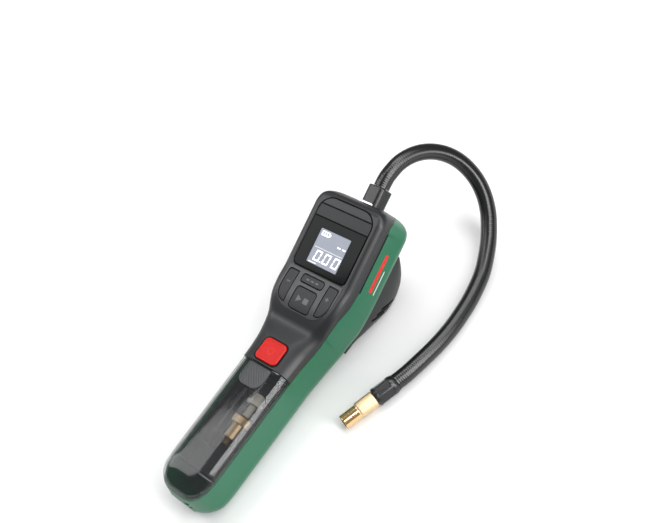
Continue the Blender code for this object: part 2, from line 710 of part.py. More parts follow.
GEAR_S = MOTOR_S + (PINION_TEETH + GEAR_TEETH) * GEAR_MODULE / 2
can_radius = MOTOR_DIAMETER / 2
shaft_radius = MOTOR_SHAFT / 2
motor_at = (0, MOTOR_S, 0)
can = turned([(MOTOR_OPENING, MOTOR_FRONT), (can_radius, MOTOR_FRONT), (can_radius, MOTOR_BACK),
              (can_radius - MOTOR_WALL, MOTOR_BACK), (can_radius - MOTOR_WALL, MOTOR_FRONT - MOTOR_WALL),
              (MOTOR_OPENING, MOTOR_FRONT - MOTOR_WALL)])
add("motor_can", can, STEEL, HEAD_FRAME, motor_at)
magnet_radius = can_radius - MOTOR_WALL - FIT
add("motor_magnet", tube(magnet_radius, 9.0, MOTOR_BACK + 5.0, MOTOR_FRONT - 4.5), RUBBER, HEAD_FRAME, motor_at)
add("motor_end_cap", tube(magnet_radius, shaft_radius + FIT, MOTOR_BACK + 0.4, MOTOR_BACK + 2.6), WHITE,
    HEAD_FRAME, motor_at)
rotor = turned([(0, GEAR_FRONT + 0.6), (shaft_radius, GEAR_FRONT + 0.6), (shaft_radius, MOTOR_FRONT - 5.5),
                (8.4, MOTOR_FRONT - 5.5), (8.4, MOTOR_BACK + 6.0), (shaft_radius, MOTOR_BACK + 6.0),
                (shaft_radius, MOTOR_BACK + 0.8), (0, MOTOR_BACK + 0.8)])
add("motor_rotor", rotor, COPPER, HEAD_FRAME, motor_at)

pinion_bore = shaft_radius + FIT
pinion = plate([gear_outline(PINION_TEETH, (0, 0), 0.0),
                rounded(2 * pinion_bore, 2 * pinion_bore, pinion_bore - 0.01, steps=2)],
               GEAR_FRONT - GEAR_THICK, GEAR_FRONT + 0.4)
add("motor_pinion", pinion, BRASS, HEAD_FRAME, motor_at)
crank = plate([gear_outline(GEAR_TEETH, (0, 0), 0.5)], GEAR_FRONT - GEAR_THICK, GEAR_FRONT)
crank = combine(crank, [disc(GEAR_SHAFT / 2 + FIT, GEAR_FRONT - GEAR_THICK - 5, GEAR_FRONT - 0.9)])
crank_pin = moved(disc(CRANK_PIN / 2, GEAR_FRONT - 0.4, PISTON_AXIS + ROD_THICK / 2 + 0.4, sides=16), CRANK_OFFSET)
add("crank_gear", combine(crank, [crank_pin], "UNION"), WHITE, HEAD_FRAME, (0, GEAR_S, 0))
gear_shaft = turned([(0, GEAR_FRONT - 1.2), (GEAR_SHAFT / 2, GEAR_FRONT - 1.2),
                     (GEAR_SHAFT / 2, BRACKET_BACK - FIT), (3.2, BRACKET_BACK - FIT),
                     (3.2, BRACKET_BACK - 1.1), (0, BRACKET_BACK - 1.1)])
add("gear_shaft", gear_shaft, STEEL, HEAD_FRAME, (0, GEAR_S, 0))

cylinder_end = CYLINDER_START + CYLINDER_LENGTH
lug = block((-LUG_HALF_WIDTH, CYLINDER_START + 1.5, PISTON_AXIS + FIT),
            (LUG_HALF_WIDTH, CYLINDER_START + 4.5, PISTON_AXIS + 3.0))
cylinder = moved(disc(CYLINDER_RADIUS, CYLINDER_START, cylinder_end, "s"), r=PISTON_AXIS)
bore = moved(disc(PISTON_BORE / 2, CYLINDER_START - 2, cylinder_end + 2, "s"), r=PISTON_AXIS)
add("cylinder", combine(combine(cylinder, [lug], "UNION"), [bore]), STEEL, HEAD_FRAME)

bracket_top = CYLINDER_START + 4.5
bracket_end = MOTOR_S - can_radius - 0.5
ear_in = CYLINDER_RADIUS + 2.6
ears = [block((low_x, CYLINDER_START + 1.5, BRACKET_FRONT - 0.5), (high_x, bracket_top, PISTON_AXIS))
        for low_x, high_x in [(ear_in, LUG_HALF_WIDTH), (-LUG_HALF_WIDTH, -ear_in)]]
bracket_middle = (0, (bracket_top + bracket_end) / 2)
bracket = plate([rounded(2 * BRACKET_HALF_WIDTH, bracket_top - bracket_end, 3.0, bracket_middle)],
                BRACKET_BACK, BRACKET_FRONT)
holes = [moved(disc(MOTOR_OPENING + 0.2, -60, 0, sides=16), 0, MOTOR_S),
         moved(disc(GEAR_SHAFT / 2 + FIT, -60, 0, sides=16), 0, GEAR_S)]
add("drive_bracket", combine(combine(bracket, ears, "UNION"), holes), STEEL, HEAD_FRAME)

# The rod's big end is a slot that clears the crank pin at every angle and every piston place
slot_half_x = CRANK_OFFSET + CRANK_PIN / 2 + 0.35
slot_half_s = 2 * CRANK_OFFSET + CRANK_PIN / 2 + 0.35
rod_low, rod_high = PISTON_AXIS - ROD_THICK / 2, PISTON_AXIS + ROD_THICK / 2
big_end = plate([rounded(2 * (slot_half_x + ROD_WALL), 2 * (slot_half_s + ROD_WALL), 3.5, (0, GEAR_S), 4),
                 rounded(2 * slot_half_x, 2 * slot_half_s, 2.0, (0, GEAR_S), 3)], rod_low, rod_high)
piston_start = CYLINDER_START + CRANK_OFFSET + 0.7
piston_radius = PISTON_BORE / 2 - FIT
groove = (piston_start + 1.0, piston_start + 2.6)
crown = turned([(0, piston_start + PISTON_LENGTH), (piston_radius, piston_start + PISTON_LENGTH),
                (piston_radius, groove[1]), (5.4, groove[1]), (5.4, groove[0]), (piston_radius, groove[0]),
                (piston_radius, piston_start), (0, piston_start)], "s")
neck = block((-2.5, GEAR_S + slot_half_s + 0.5, rod_low), (2.5, piston_start + 0.5, rod_high))
piston = combine(big_end, [neck, moved(crown, r=PISTON_AXIS)], "UNION")
add("piston", piston, WHITE, HEAD_FRAME)
seal = moved(tube(piston_radius, 5.7, groove[0] + FIT, groove[1] - FIT, "s"), r=PISTON_AXIS)
add("piston_seal", seal, RUBBER, HEAD_FRAME)

plate_start = cylinder_end + FIT
head_plate = moved(disc(CYLINDER_RADIUS, plate_start, plate_start + HEAD_PLATE, "s"), r=PISTON_AXIS)
head_stem = moved(disc(STEM_RADIUS, plate_start + 1.0, HEAD_TOP, "s", 16), r=OUTLET_DEPTH)
head_bore = moved(disc(1.4, plate_start - 2, HEAD_TOP + 2, "s", 12), r=OUTLET_DEPTH)
cylinder_head = combine(combine(head_plate, [head_stem], "UNION"), [head_bore])
add("cylinder_head", cylinder_head, BRASS, HEAD_FRAME)


# ------------------------------------------------------------------ gland, light and charging port

def make_gland():
    flange_s = HEAD_TOP - WALL - FIT
    body = along_s([rounded(GLAND_WIDTH, GLAND_WIDTH, GLAND_CORNER, (0, OUTLET_DEPTH))], flange_s - 1.0, GLAND_TOP)
    flange = along_s([rounded(GLAND_WIDTH + 3, GLAND_WIDTH + 3, GLAND_CORNER, (0, OUTLET_DEPTH))],
                     flange_s - 1.0, flange_s)
    bores = [moved(disc(STEM_RADIUS + FIT, 0, HEAD_TOP + 1.0, "s", 16), r=OUTLET_DEPTH),
             moved(disc(AIR_BORE / 2, 0, GLAND_TOP + 5, "s", 16), r=OUTLET_DEPTH)]
    return combine(combine(body, [flange], "UNION"), bores)


add("hose_gland", make_gland(), BLACK, HEAD_FRAME)
led = along_s([rounded(LED_WIDTH, LED_HEIGHT, 1.2, (0, LED_DEPTH))], HEAD_TOP - WALL - 0.6, HEAD_TOP + 0.3)
add("light_lens", led, CLEAR, HEAD_FRAME)
light_board_top = HEAD_TOP - WALL - 1.0
light_board = block((-5, light_board_top - 1.2, LED_DEPTH - 1.2), (5, light_board_top, LED_DEPTH + 3.0))
add("light_board", light_board, BOARD, HEAD_FRAME)
flap_s, flap_r, flap_length, flap_height = FLAP
socket = block((-HEAD + 1.4, flap_s - 4.6, flap_r - 1.7), (-HEAD + 8.6, flap_s + 4.6, flap_r + 1.7))
socket_mouth = block((-HEAD, flap_s - 4.2, flap_r - 1.3), (-HEAD + 7.6, flap_s + 4.2, flap_r + 1.3))
add("charging_socket", combine(socket, [socket_mouth]), STEEL, HEAD_FRAME)
flap_mesh = block((0, FIT - flap_length / 2, 0), (FLAP_THICK, flap_length / 2 - FIT, flap_height - 2 * FIT))
add("charging_flap", flap_mesh, RUBBER, HEAD_FRAME, (-HEAD - 0.4, flap_s, flap_r - flap_height / 2 + FIT))


# ------------------------------------------------------------------ battery, tray and adapters

cell_end = CELL_TOP - CELL_LENGTH
cell = turned([(0, CELL_TOP), (4.0, CELL_TOP), (4.0, CELL_TOP - 1.2), (CELL_DIAMETER / 2 - 1, CELL_TOP - 1.2),
               (CELL_DIAMETER / 2, CELL_TOP - 2.2), (CELL_DIAMETER / 2, cell_end), (0, cell_end)], "s")
add("battery_cell", moved(cell, r=CELL_DEPTH), CELL, HANDLE_FRAME)
for name, low in [("battery_contact_plus", CELL_TOP + FIT), ("battery_contact_minus", cell_end - FIT - 0.8)]:
    contact = along_s([rounded(12.0, 12.0, 1.0, (0, CELL_DEPTH))], low, low + 0.8)
    add(name, contact, STEEL, HANDLE_FRAME)

tray_top = COVER_TOP - 3.0
tray_end = TAIL_END + 20.0
tray_half = HAND - 0.5 - WALL - FIT
tray_rim = HANDLE_SPLIT - 0.6
tray = block((-tray_half, tray_end, TRAY_FLOOR - TRAY_WALL), (tray_half, tray_top, tray_rim))
tray_space = block((TRAY_WALL - tray_half, tray_end + TRAY_WALL, TRAY_FLOOR),
                   (tray_half - TRAY_WALL, tray_top - TRAY_WALL, 20))
add("adapter_tray", combine(tray, [tray_space]), BLACK, HANDLE_FRAME)

# The needle lies on the left of the tray and the two adapters on its right, with the slack shared out
tray_in = tray_half - TRAY_WALL
tray_slack = 2 * (tray_in - NEEDLE_RADIUS - ADAPTER_RADIUS)
needle_x = NEEDLE_RADIUS - tray_in + 0.204 * tray_slack
adapter_x = tray_in - ADAPTER_RADIUS - 0.357 * tray_slack
adapter_r = TRAY_FLOOR + ADAPTER_RADIUS + FIT
cone = turned([(2.9, CONE_TOP), (4.2, CONE_TOP - 5.0), (5.2, CONE_TOP - 5.0), (5.2, CONE_TOP - 7.5),
               (2.6, CONE_TOP - 7.5), (2.6, CONE_TOP - 16.0), (1.3, CONE_TOP - 16.0), (1.3, CONE_TOP)], "s")
add("cone_adapter", moved(cone, adapter_x, r=adapter_r), WHITE, HANDLE_FRAME)
presta_top = CONE_TOP - 16.6
presta = turned([(4.6, presta_top), (ADAPTER_RADIUS, presta_top - 0.8), (ADAPTER_RADIUS, presta_top - 5.0),
                 (4.3, presta_top - 5.0), (4.3, presta_top - 15.0), (2.0, presta_top - 15.0),
                 (2.0, presta_top - 19.0), (1.1, presta_top - 19.0), (1.1, presta_top)], "s")
add("presta_adapter", moved(presta, adapter_x, r=adapter_r), BRASS, HANDLE_FRAME)
needle = turned([(0.5, CONE_TOP), (1.1, CONE_TOP - 1.5), (1.1, CONE_TOP - 30.0), (NEEDLE_RADIUS, CONE_TOP - 31.0),
                 (NEEDLE_RADIUS, CONE_TOP - 41.0), (0.5, CONE_TOP - 41.0)], "s", 16)
add("needle_adapter", moved(needle, needle_x, r=TRAY_FLOOR + NEEDLE_RADIUS + FIT), STEEL, HANDLE_FRAME)


# ------------------------------------------------------------------ screws

def make_screw(length):
    head = SCREW_HEAD / 2
    shank = SCREW_SHANK / 2
    return turned([(0, length), (shank, length), (shank, 0), (head, 0), (head, -1.2), (head - 0.8, -1.9),
                   (1.1, -1.9), (1.1, -0.8), (0, -0.8)], sides=12)


for i, (x, s) in enumerate(POSTS):
    frame = HEAD_FRAME if s > 0 else HANDLE_FRAME
    add(f"shell_screw_{i + 1}", make_screw(SCREW_LENGTH), STEEL, frame, (x, s, screw_depth(s) - FIT))


def rest_on_floor():
    """Puts the middle of the tool's box at X = Y = 0, and its feet at Z = 0."""
    bpy.context.view_layer.update()
    meshes = [obj for obj in TOOL.objects if obj.type == "MESH"]
    points = [obj.matrix_world @ vert.co for obj in meshes for vert in obj.data.vertices]
    low = [min(point[i] for point in points) for i in range(3)]
    high = [max(point[i] for point in points) for i in range(3)]
    ROOT.location = (-(low[0] + high[0]) / 2, -(low[1] + high[1]) / 2, -low[2])
    bpy.context.view_layer.update()


rest_on_floor()


# ------------------------------------------------------------------ hose and its connector

# The hose leaves the gland, arches over to the floor and lies there, in row millimetres
HOSE_ROUTE = [
    (0.2, 108.4, 64.9), (0.2, 112.6, 66.7), (0.6, 117.6, 68.2), (1.9, 127.1, 69.2), (4.8, 136.6, 67.8),
    (9.1, 144.9, 64.2), (14.7, 151.4, 58.6), (20.9, 155.4, 51.7), (27.4, 156.7, 44.1), (34.1, 155.4, 36.1),
    (40.3, 151.5, 28.8), (45.8, 145.5, 22.7), (50.4, 138.0, 17.7), (54.4, 129.8, 13.5), (57.9, 120.8, 10.3),
    (60.9, 111.5, 7.9), (62.9, 101.6, 6.6), (64.3, 91.7, 5.8), (65.1, 81.6, 5.5), (65.5, 71.5, 5.5),
    (65.2, 61.4, 5.7), (64.2, 51.3, 6.0), (62.6, 41.3, 6.3), (60.7, 31.6, 6.4), (59.4, 26.5, 6.4),
    CONNECTOR_START,
]


def smooth(points, spacing):
    """Points about spacing apart on a smooth curve through all the given points."""
    points = [Vector(point) for point in points]
    ends = [2 * points[0] - points[1]] + points + [2 * points[-1] - points[-2]]
    fine = []
    for a, b, c, d in zip(ends, ends[1:], ends[2:], ends[3:]):
        for step in range(12):
            t = step / 12
            fine.append(0.5 * ((2 * b) + (c - a) * t + (2 * a - 5 * b + 4 * c - d) * t ** 2
                               + (3 * b - a - 3 * c + d) * t ** 3))
    fine.append(points[-1])
    total = sum((b - a).length for a, b in zip(fine, fine[1:]))
    count = max(2, round(total / spacing))
    chosen, walked = [fine[0]], 0.0
    for a, b in zip(fine, fine[1:]):
        walked += (b - a).length
        if walked >= len(chosen) * total / count and len(chosen) < count:
            chosen.append(b)
    return chosen + [fine[-1]]


def make_hose():
    """The hose as a tube, with a short straight run at each end that squares its end face."""
    curve = bpy.data.curves.new("air_hose", "CURVE")
    curve.dimensions = "3D"
    curve.bevel_depth = HOSE_DIAMETER / 2 * MM
    curve.bevel_resolution = 3
    curve.use_fill_caps = True
    points = smooth(HOSE_ROUTE, 1.6 * HOSE_DIAMETER)
    gland_way = HEAD_FRAME.matrix_world.to_3x3() @ Vector((0, 1, 0))
    connector_way = Vector((math.sin(CONNECTOR_HEADING), -math.cos(CONNECTOR_HEADING), 0))
    points.insert(1, points[0] + HOSE_SQUARE_RUN * gland_way)
    points.insert(-1, points[-1] - HOSE_SQUARE_RUN * connector_way)
    spline = curve.splines.new("POLY")
    spline.points.add(len(points) - 1)
    for point, place in zip(spline.points, points):
        point.co = (*(place * MM), 1)
    made = bpy.data.objects.new("air_hose", curve)
    curve.materials.append(HOSE)
    TOOL.objects.link(made)


make_hose()
CONNECTOR = empty("connector", None, Vector(CONNECTOR_START) * MM)
CONNECTOR.rotation_euler = (0, 0, CONNECTOR_HEADING)
stem_hole = STEM_DIAMETER / 2 + FIT
ferrule_end = -FIT - FERRULE_LENGTH
ferrule_radius = FERRULE_DIAMETER / 2
ferrule = turned([(HOSE_DIAMETER / 2 + 0.2, -FIT), (ferrule_radius - 0.2, -FIT - 1.6),
                  (ferrule_radius, -FIT - 3.2), (ferrule_radius, ferrule_end + 0.6),
                  (ferrule_radius - 0.6, ferrule_end), (stem_hole, ferrule_end), (stem_hole, -FIT)], "s")
add("hose_ferrule", ferrule, BLACK, CONNECTOR)
nut_start = ferrule_end - FIT
grip_end = nut_start - NUT_GRIP
mouth_end = grip_end - MOUTH_LENGTH
nut_radius = NUT_DIAMETER / 2
mouth_radius = MOUTH_DIAMETER / 2
seat = nut_start - NUT_LIP
nut = turned([(nut_radius - 0.5, nut_start), (nut_radius, nut_start - 0.5), (nut_radius, grip_end + 0.4),
              (nut_radius - 0.4, grip_end), (mouth_radius, grip_end), (mouth_radius, mouth_end),
              (VALVE_BORE / 2, mouth_end), (VALVE_BORE / 2, seat), (stem_hole, seat), (stem_hole, nut_start)], "s")
add("swivel_nut", nut, BRASS, CONNECTOR)
flange_radius = VALVE_BORE / 2 - FIT
stem = turned([(STEM_DIAMETER / 2, -1.5), (STEM_DIAMETER / 2, seat - FIT), (flange_radius, seat - FIT),
               (flange_radius, seat - FIT - 1.4), (1.3, seat - FIT - 1.4), (1.3, -1.5)], "s")
add("hose_stem", stem, BRASS, CONNECTOR)
add("nut_seal", tube(flange_radius, 1.6, seat - 2 * FIT - 3.4, seat - 2 * FIT - 1.4, "s"), RUBBER, CONNECTOR)
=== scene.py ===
"""The looks of a battery tyre inflator, built around its CAD frame.

Pieces of the tool are drawn in the tool's own coordinates, as if its handle were straight: x to its
right, s along it towards the head's top, r out of its front, with the head's face at r = 0. Sizes are
in millimetres. place() bends them as the tool is bent and puts them in the frame, in metres.
"""

import json
import math

import bmesh
import bpy
from mathutils import Matrix, Vector


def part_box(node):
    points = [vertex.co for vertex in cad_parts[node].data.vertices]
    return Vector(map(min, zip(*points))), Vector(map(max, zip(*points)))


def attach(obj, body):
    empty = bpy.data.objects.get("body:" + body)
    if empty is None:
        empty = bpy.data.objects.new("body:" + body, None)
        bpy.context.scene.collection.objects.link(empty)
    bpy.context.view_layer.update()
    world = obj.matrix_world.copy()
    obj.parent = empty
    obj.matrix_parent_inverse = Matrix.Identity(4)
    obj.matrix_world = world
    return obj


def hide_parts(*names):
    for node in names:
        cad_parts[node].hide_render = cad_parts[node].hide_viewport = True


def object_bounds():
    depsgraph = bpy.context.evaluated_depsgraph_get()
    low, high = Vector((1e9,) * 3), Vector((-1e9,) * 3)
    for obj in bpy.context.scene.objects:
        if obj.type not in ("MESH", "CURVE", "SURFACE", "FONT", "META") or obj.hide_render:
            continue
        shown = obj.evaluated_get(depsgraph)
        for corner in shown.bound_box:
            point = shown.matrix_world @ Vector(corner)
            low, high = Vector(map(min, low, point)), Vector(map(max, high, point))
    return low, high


MM = 0.001

# Outer sizes, as in the CAD model
HEAD_WIDTH = 54.0
HANDLE_WIDTH = 37.0
HEAD_DEPTH = 40.0
HANDLE_DEPTH = 41.1
HEAD_TOP = 36.0
HANDLE_FRONT = 3.1
HANDLE_LENGTH = 105.0
BEND_START = -45.0
BEND_RADIUS = 58.0
BEND_ANGLE = math.radians(19.7)
WALL = 2.0
GAP = 0.3
BACK_CORNER = 12.0
MOTOR_S = -8.0
MOTOR_R = -45.0

HEAD = HEAD_WIDTH / 2
HAND = HANDLE_WIDTH / 2
BACK = -HEAD_DEPTH
HAND_BACK = HANDLE_FRONT - HANDLE_DEPTH
HANDLE_START = BEND_START - BEND_RADIUS * BEND_ANGLE
TAIL_END = HANDLE_START - HANDLE_LENGTH
COVER_TOP = HANDLE_START - 14.6

# Seams between the shells
HEAD_SPLIT = -9.0
HANDLE_SPLIT = -6.4
SEAM_NOTCH = 1.5
OUTLET_DEPTH = -22.0
HOUSING_SPLIT = -35.0
HOUSING_TOP = 16.0
HOUSING_END = -50.0
HOUSING_INSET = 2.5
HOUSING_DEPTH = 33.0

# Face, keys and light
FACE_HALF = 21.0
FACE_TOP = 31.0
FACE_END = -15.6
FACE_RECESS = 1.2
FACE_GAP = 0.55
BAND_TOP = 25.2
BAND_END = 17.2
SCREEN_HALF = 11.7
SCREEN_TOP = 11.2
SCREEN_END = -11.0
SCREEN_MIDDLE = (0, (SCREEN_TOP + SCREEN_END) / 2)
CASING_WINDOW = 30.0
SHADE_SHEET_WINDOW = 27.0
KEY_GAP = 0.45
KEY_PROUD = 0.5
KEY_SEAT = -2.0
START_KEY = (0.0, -33.4, 15.3, 14.0)
UNIT_KEY = (0.0, -20.9, 16.5, 5.0)
SIDE_KEY_IN = 12.4
SIDE_KEY_OUT = 19.4
SIDE_KEY_TOP = -18.8
SIDE_KEY_END = -38.6
POWER_KEY = (0.0, HANDLE_START - 5.5, 17.0, 15.0)
POWER_CORNER = 3.2
LIGHT_WIDTH = 10.6
LIGHT_HEIGHT = 2.6
LIGHT_DEPTH = -12.6
LIGHT_PROUD = 1.2

# Gland, hose and connector
GLAND_WIDTH = 12.8
GLAND_CORNER = 3.5
GLAND_TOP = 49.0
HOSE_DIAMETER = 10.5
HOSE_BORE = 4.6
HOSE_RIB = 1.35
FERRULE_DIAMETER = 12.0
FERRULE_LENGTH = 15.6
NUT_DIAMETER = 10.4
NUT_GRIP = 12.4
MOUTH_DIAMETER = 9.3
MOUTH_LENGTH = 11.4
VALVE_BORE = 8.0
STEM_DIAMETER = 4.6
CONNECTOR_START = (57.9, 21.7, 6.4)
CONNECTOR_HEADING = math.radians(-17.4)

# The hose's route, the same points as in the CAD model, in millimetres of the frame
HOSE_ROUTE = [
    (0.2, 108.4, 64.9), (0.2, 112.6, 66.7), (0.6, 117.6, 68.2), (1.9, 127.1, 69.2), (4.8, 136.6, 67.8),
    (9.1, 144.9, 64.2), (14.7, 151.4, 58.6), (20.9, 155.4, 51.7), (27.4, 156.7, 44.1), (34.1, 155.4, 36.1),
    (40.3, 151.5, 28.8), (45.8, 145.5, 22.7), (50.4, 138.0, 17.7), (54.4, 129.8, 13.5), (57.9, 120.8, 10.3),
    (60.9, 111.5, 7.9), (62.9, 101.6, 6.6), (64.3, 91.7, 5.8), (65.1, 81.6, 5.5), (65.5, 71.5, 5.5),
    (65.2, 61.4, 5.7), (64.2, 51.3, 6.0), (62.6, 41.3, 6.3), (60.7, 31.6, 6.4), (59.4, 26.5, 6.4),
    CONNECTOR_START,
]

# Storage in the handle
TRAY_FLOOR = -15.6
COVER_WALL = 1.6
COVER_LEDGE = 3.4
COVER_STEP = 0.45
ADAPTER_X = 4.8
CONE_TOP = HANDLE_START - 29.0
ADAPTER_R = TRAY_FLOOR + 6.4
FLAP = (2.0, -19.0, 15.0, 9.0)
POSTS = [(18.5, 26.0), (-18.5, 26.0), (13.0, HANDLE_START - 5.0), (-13.0, HANDLE_START - 5.0)]
SCREW_SINK = 6.5

# How far the cutters reach: past the sides, past the back, and through the front wall
WIDE = 60.0
DEEP = 90.0
THROUGH = 9.0

# How deep the seam's notch is cut into the side of the head
NOTCH_BITE = 0.9

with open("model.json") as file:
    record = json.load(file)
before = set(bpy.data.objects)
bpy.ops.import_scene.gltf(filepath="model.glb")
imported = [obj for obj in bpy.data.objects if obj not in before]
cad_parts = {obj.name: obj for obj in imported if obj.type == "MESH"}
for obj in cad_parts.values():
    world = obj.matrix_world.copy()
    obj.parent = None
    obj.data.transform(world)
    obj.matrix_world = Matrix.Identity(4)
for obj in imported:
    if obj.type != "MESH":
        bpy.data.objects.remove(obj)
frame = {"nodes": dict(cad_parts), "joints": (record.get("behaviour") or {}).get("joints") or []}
cad_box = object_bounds()
JOINTS = {joint["name"]: joint for joint in frame["joints"]}
RIGHT = Vector((1, 0, 0))
UP = Vector(JOINTS["piston_slide"]["axis"])
OUT = Vector(JOINTS["rotor_spin"]["axis"])
ORIGIN = Vector(JOINTS["rotor_spin"]["pos_m"]) - (MOTOR_S * UP + MOTOR_R * OUT) * MM
HEAD_FRAME = Matrix.Translation(ORIGIN) @ Matrix((RIGHT, UP, OUT)).transposed().to_4x4()
CONNECTOR = Matrix.Translation(Vector(CONNECTOR_START) * MM) @ Matrix.Rotation(CONNECTOR_HEADING, 4, "Z")


# ---------------------------- materials

def new_material(name):
    """A node material, its Principled shader and a function that adds a node with some of its values."""
    made = bpy.data.materials.new(name)
    made.use_nodes = True
    nodes, links = made.node_tree.nodes, made.node_tree.links

    def node(kind, **values):
        new = nodes.new(kind)
        for key, value in values.items():
            if key in new.inputs:
                new.inputs[key].default_value = value
            else:
                setattr(new, key, value)
        return new

    return made, nodes["Principled BSDF"], node, links.new


def place_noise(node, link, scale, detail=2.0, stretch=(1, 1, 1)):
    """Noise in the object's own metres, so that it stays on a piece wherever it goes."""
    where = node("ShaderNodeTexCoord")
    spread = node("ShaderNodeMapping")
    spread.inputs["Scale"].default_value = stretch
    noise = node("ShaderNodeTexNoise", Scale=scale, Detail=detail)
    link(where.outputs["Object"], spread.inputs["Vector"])
    link(spread.outputs["Vector"], noise.inputs["Vector"])
    return noise


LOOKS = {}

# Sockets of a colour mix, which share their names with those of other types
MIX_FACTOR, MIX_LOW, MIX_HIGH, MIX_RESULT = 0, 6, 7, 2


def surface(name, colour, roughness, metallic=0.0, shade=0.08, grain=1800.0, depth=0.02, uneven=0.06,
            coat=0.0, alpha=1.0, specular=0.5, stretch=(1, 1, 1), glow=0.0):
    """A moulded, painted or metal surface: soft colour changes, uneven gloss and a fine grain."""
    made, shader, node, link = new_material(name)
    broad = place_noise(node, link, 45.0)
    tint = node("ShaderNodeMix", data_type="RGBA")
    tint.inputs[MIX_LOW].default_value = (*[min(1.0, c * (1 - shade)) for c in colour], 1)
    tint.inputs[MIX_HIGH].default_value = (*[min(1.0, c * (1 + shade)) for c in colour], 1)
    link(broad.outputs["Fac"], tint.inputs[MIX_FACTOR])
    link(tint.outputs[MIX_RESULT], shader.inputs["Base Color"])
    fine = place_noise(node, link, grain, 3.0, stretch)
    gloss = node("ShaderNodeMapRange")
    gloss.inputs["To Min"].default_value = max(0.02, roughness - uneven)
    gloss.inputs["To Max"].default_value = min(1.0, roughness + uneven)
    link(fine.outputs["Fac"], gloss.inputs["Value"])
    link(gloss.outputs["Result"], shader.inputs["Roughness"])
    bump = node("ShaderNodeBump", Strength=0.6, Distance=depth * MM)
    link(fine.outputs["Fac"], bump.inputs["Height"])
    link(bump.outputs["Normal"], shader.inputs["Normal"])
    shader.inputs["Metallic"].default_value = metallic
    shader.inputs["Specular IOR Level"].default_value = specular
    shader.inputs["Coat Weight"].default_value = coat
    shader.inputs["Coat Roughness"].default_value = 0.05
    shader.inputs["Alpha"].default_value = alpha
    if glow:
        shader.inputs["Emission Color"].default_value = (*colour, 1)
        shader.inputs["Emission Strength"].default_value = glow
    LOOKS[name] = made
    return made


surface("casing", (0.013, 0.014, 0.0155), 0.38, shade=0.10)
surface("green", (0.012, 0.132, 0.064), 0.34, shade=0.05, depth=0.012, specular=0.45)
surface("housing", (0.010, 0.011, 0.012), 0.42, shade=0.10, specular=0.4)
surface("dome", (0.030, 0.033, 0.036), 0.45, shade=0.06, specular=0.4)
surface("band", (0.016, 0.018, 0.019), 0.45, shade=0.06, specular=0.4)
surface("surround", (0.040, 0.043, 0.045), 0.38, shade=0.06)
surface("key", (0.022, 0.024, 0.026), 0.50, shade=0.06, depth=0.03, specular=0.4)
surface("sign", (0.11, 0.115, 0.12), 0.5, shade=0.03)
surface("red", (0.52, 0.009, 0.006), 0.40, shade=0.05, specular=0.3)
surface("red_print", (0.62, 0.014, 0.008), 0.4, shade=0.03)
surface("white_print", (0.72, 0.74, 0.73), 0.45, shade=0.03)
surface("dark_print", (0.007, 0.008, 0.009), 0.5, shade=0.03)
# Painted shade: a near-black, dull look for the fills that stand in for the shade in gaps and notches
surface("gap_shade", (0.004, 0.004, 0.004), 0.7, shade=0.03, specular=0.2)
surface("lens", (0.005, 0.006, 0.006), 0.10, shade=0.05, depth=0.0, uneven=0.02, specular=0.10)
surface("screen", (0.24, 0.26, 0.31), 0.3, shade=0.04, depth=0.0, uneven=0.02, specular=0.3, glow=0.22)
surface("segment", (0.95, 0.96, 0.97), 0.3, shade=0.01, depth=0.0, glow=0.9)
surface("faint", (0.60, 0.62, 0.65), 0.3, shade=0.01, depth=0.0, glow=0.3)
surface("smoke", (0.020, 0.022, 0.023), 0.10, shade=0.04, depth=0.0, uneven=0.03, coat=0.4,
        alpha=0.34, specular=0.7)
surface("pad", (0.055, 0.059, 0.062), 0.34)
surface("tray", (0.026, 0.028, 0.030), 0.6)
surface("glow", (1.0, 1.0, 1.0), 0.3, shade=0.0, depth=0.0, glow=0.8)
surface("rubber", (0.012, 0.0125, 0.013), 0.6, shade=0.10, depth=0.03)
surface("hose", (0.006, 0.0065, 0.007), 0.22, shade=0.12, grain=900.0, depth=0.015, specular=0.55)
surface("ferrule", (0.006, 0.007, 0.008), 0.28)
surface("brass", (0.80, 0.54, 0.27), 0.13, 1.0, shade=0.04, depth=0.004, stretch=(1, 8, 1))
surface("brass_matt", (0.74, 0.56, 0.35), 0.42, 1.0, shade=0.06)
surface("steel", (0.56, 0.57, 0.58), 0.3, 1.0, shade=0.06, depth=0.008, stretch=(1, 8, 1))
surface("dark_steel", (0.10, 0.10, 0.105), 0.35, 1.0, shade=0.06, depth=0.008)
surface("copper", (0.62, 0.27, 0.12), 0.32, 1.0, shade=0.10, stretch=(1, 12, 1), depth=0.05)
surface("board", (0.018, 0.12, 0.055), 0.42, shade=0.15, grain=600.0)
surface("white_plastic", (0.90, 0.86, 0.78), 0.38, shade=0.04)
surface("cell_wrap", (0.045, 0.14, 0.38), 0.3, shade=0.05, coat=0.4)
surface("magnet", (0.030, 0.029, 0.028), 0.55, shade=0.12, grain=1200.0, depth=0.05)


# ---------------------------- places

def bend(x, s, r):
    """The head-frame point of tool coordinates: straight head, round neck, straight handle."""
    reach = BEND_RADIUS - r
    angle = min(max((BEND_START - s) / BEND_RADIUS, 0.0), BEND_ANGLE)
    beyond = max(HANDLE_START - s, 0.0)
    y = max(s, BEND_START) - reach * math.sin(angle) - beyond * math.cos(angle)
    z = BEND_RADIUS - reach * math.cos(angle) + beyond * math.sin(angle)
    return Vector((x, y, z))


def place(mesh):
    """The mesh moved from tool coordinates into the frame."""
    for vert in mesh.vertices:
        vert.co = HEAD_FRAME @ (bend(*(vert.co / MM)) * MM)
    mesh.update()
    return mesh


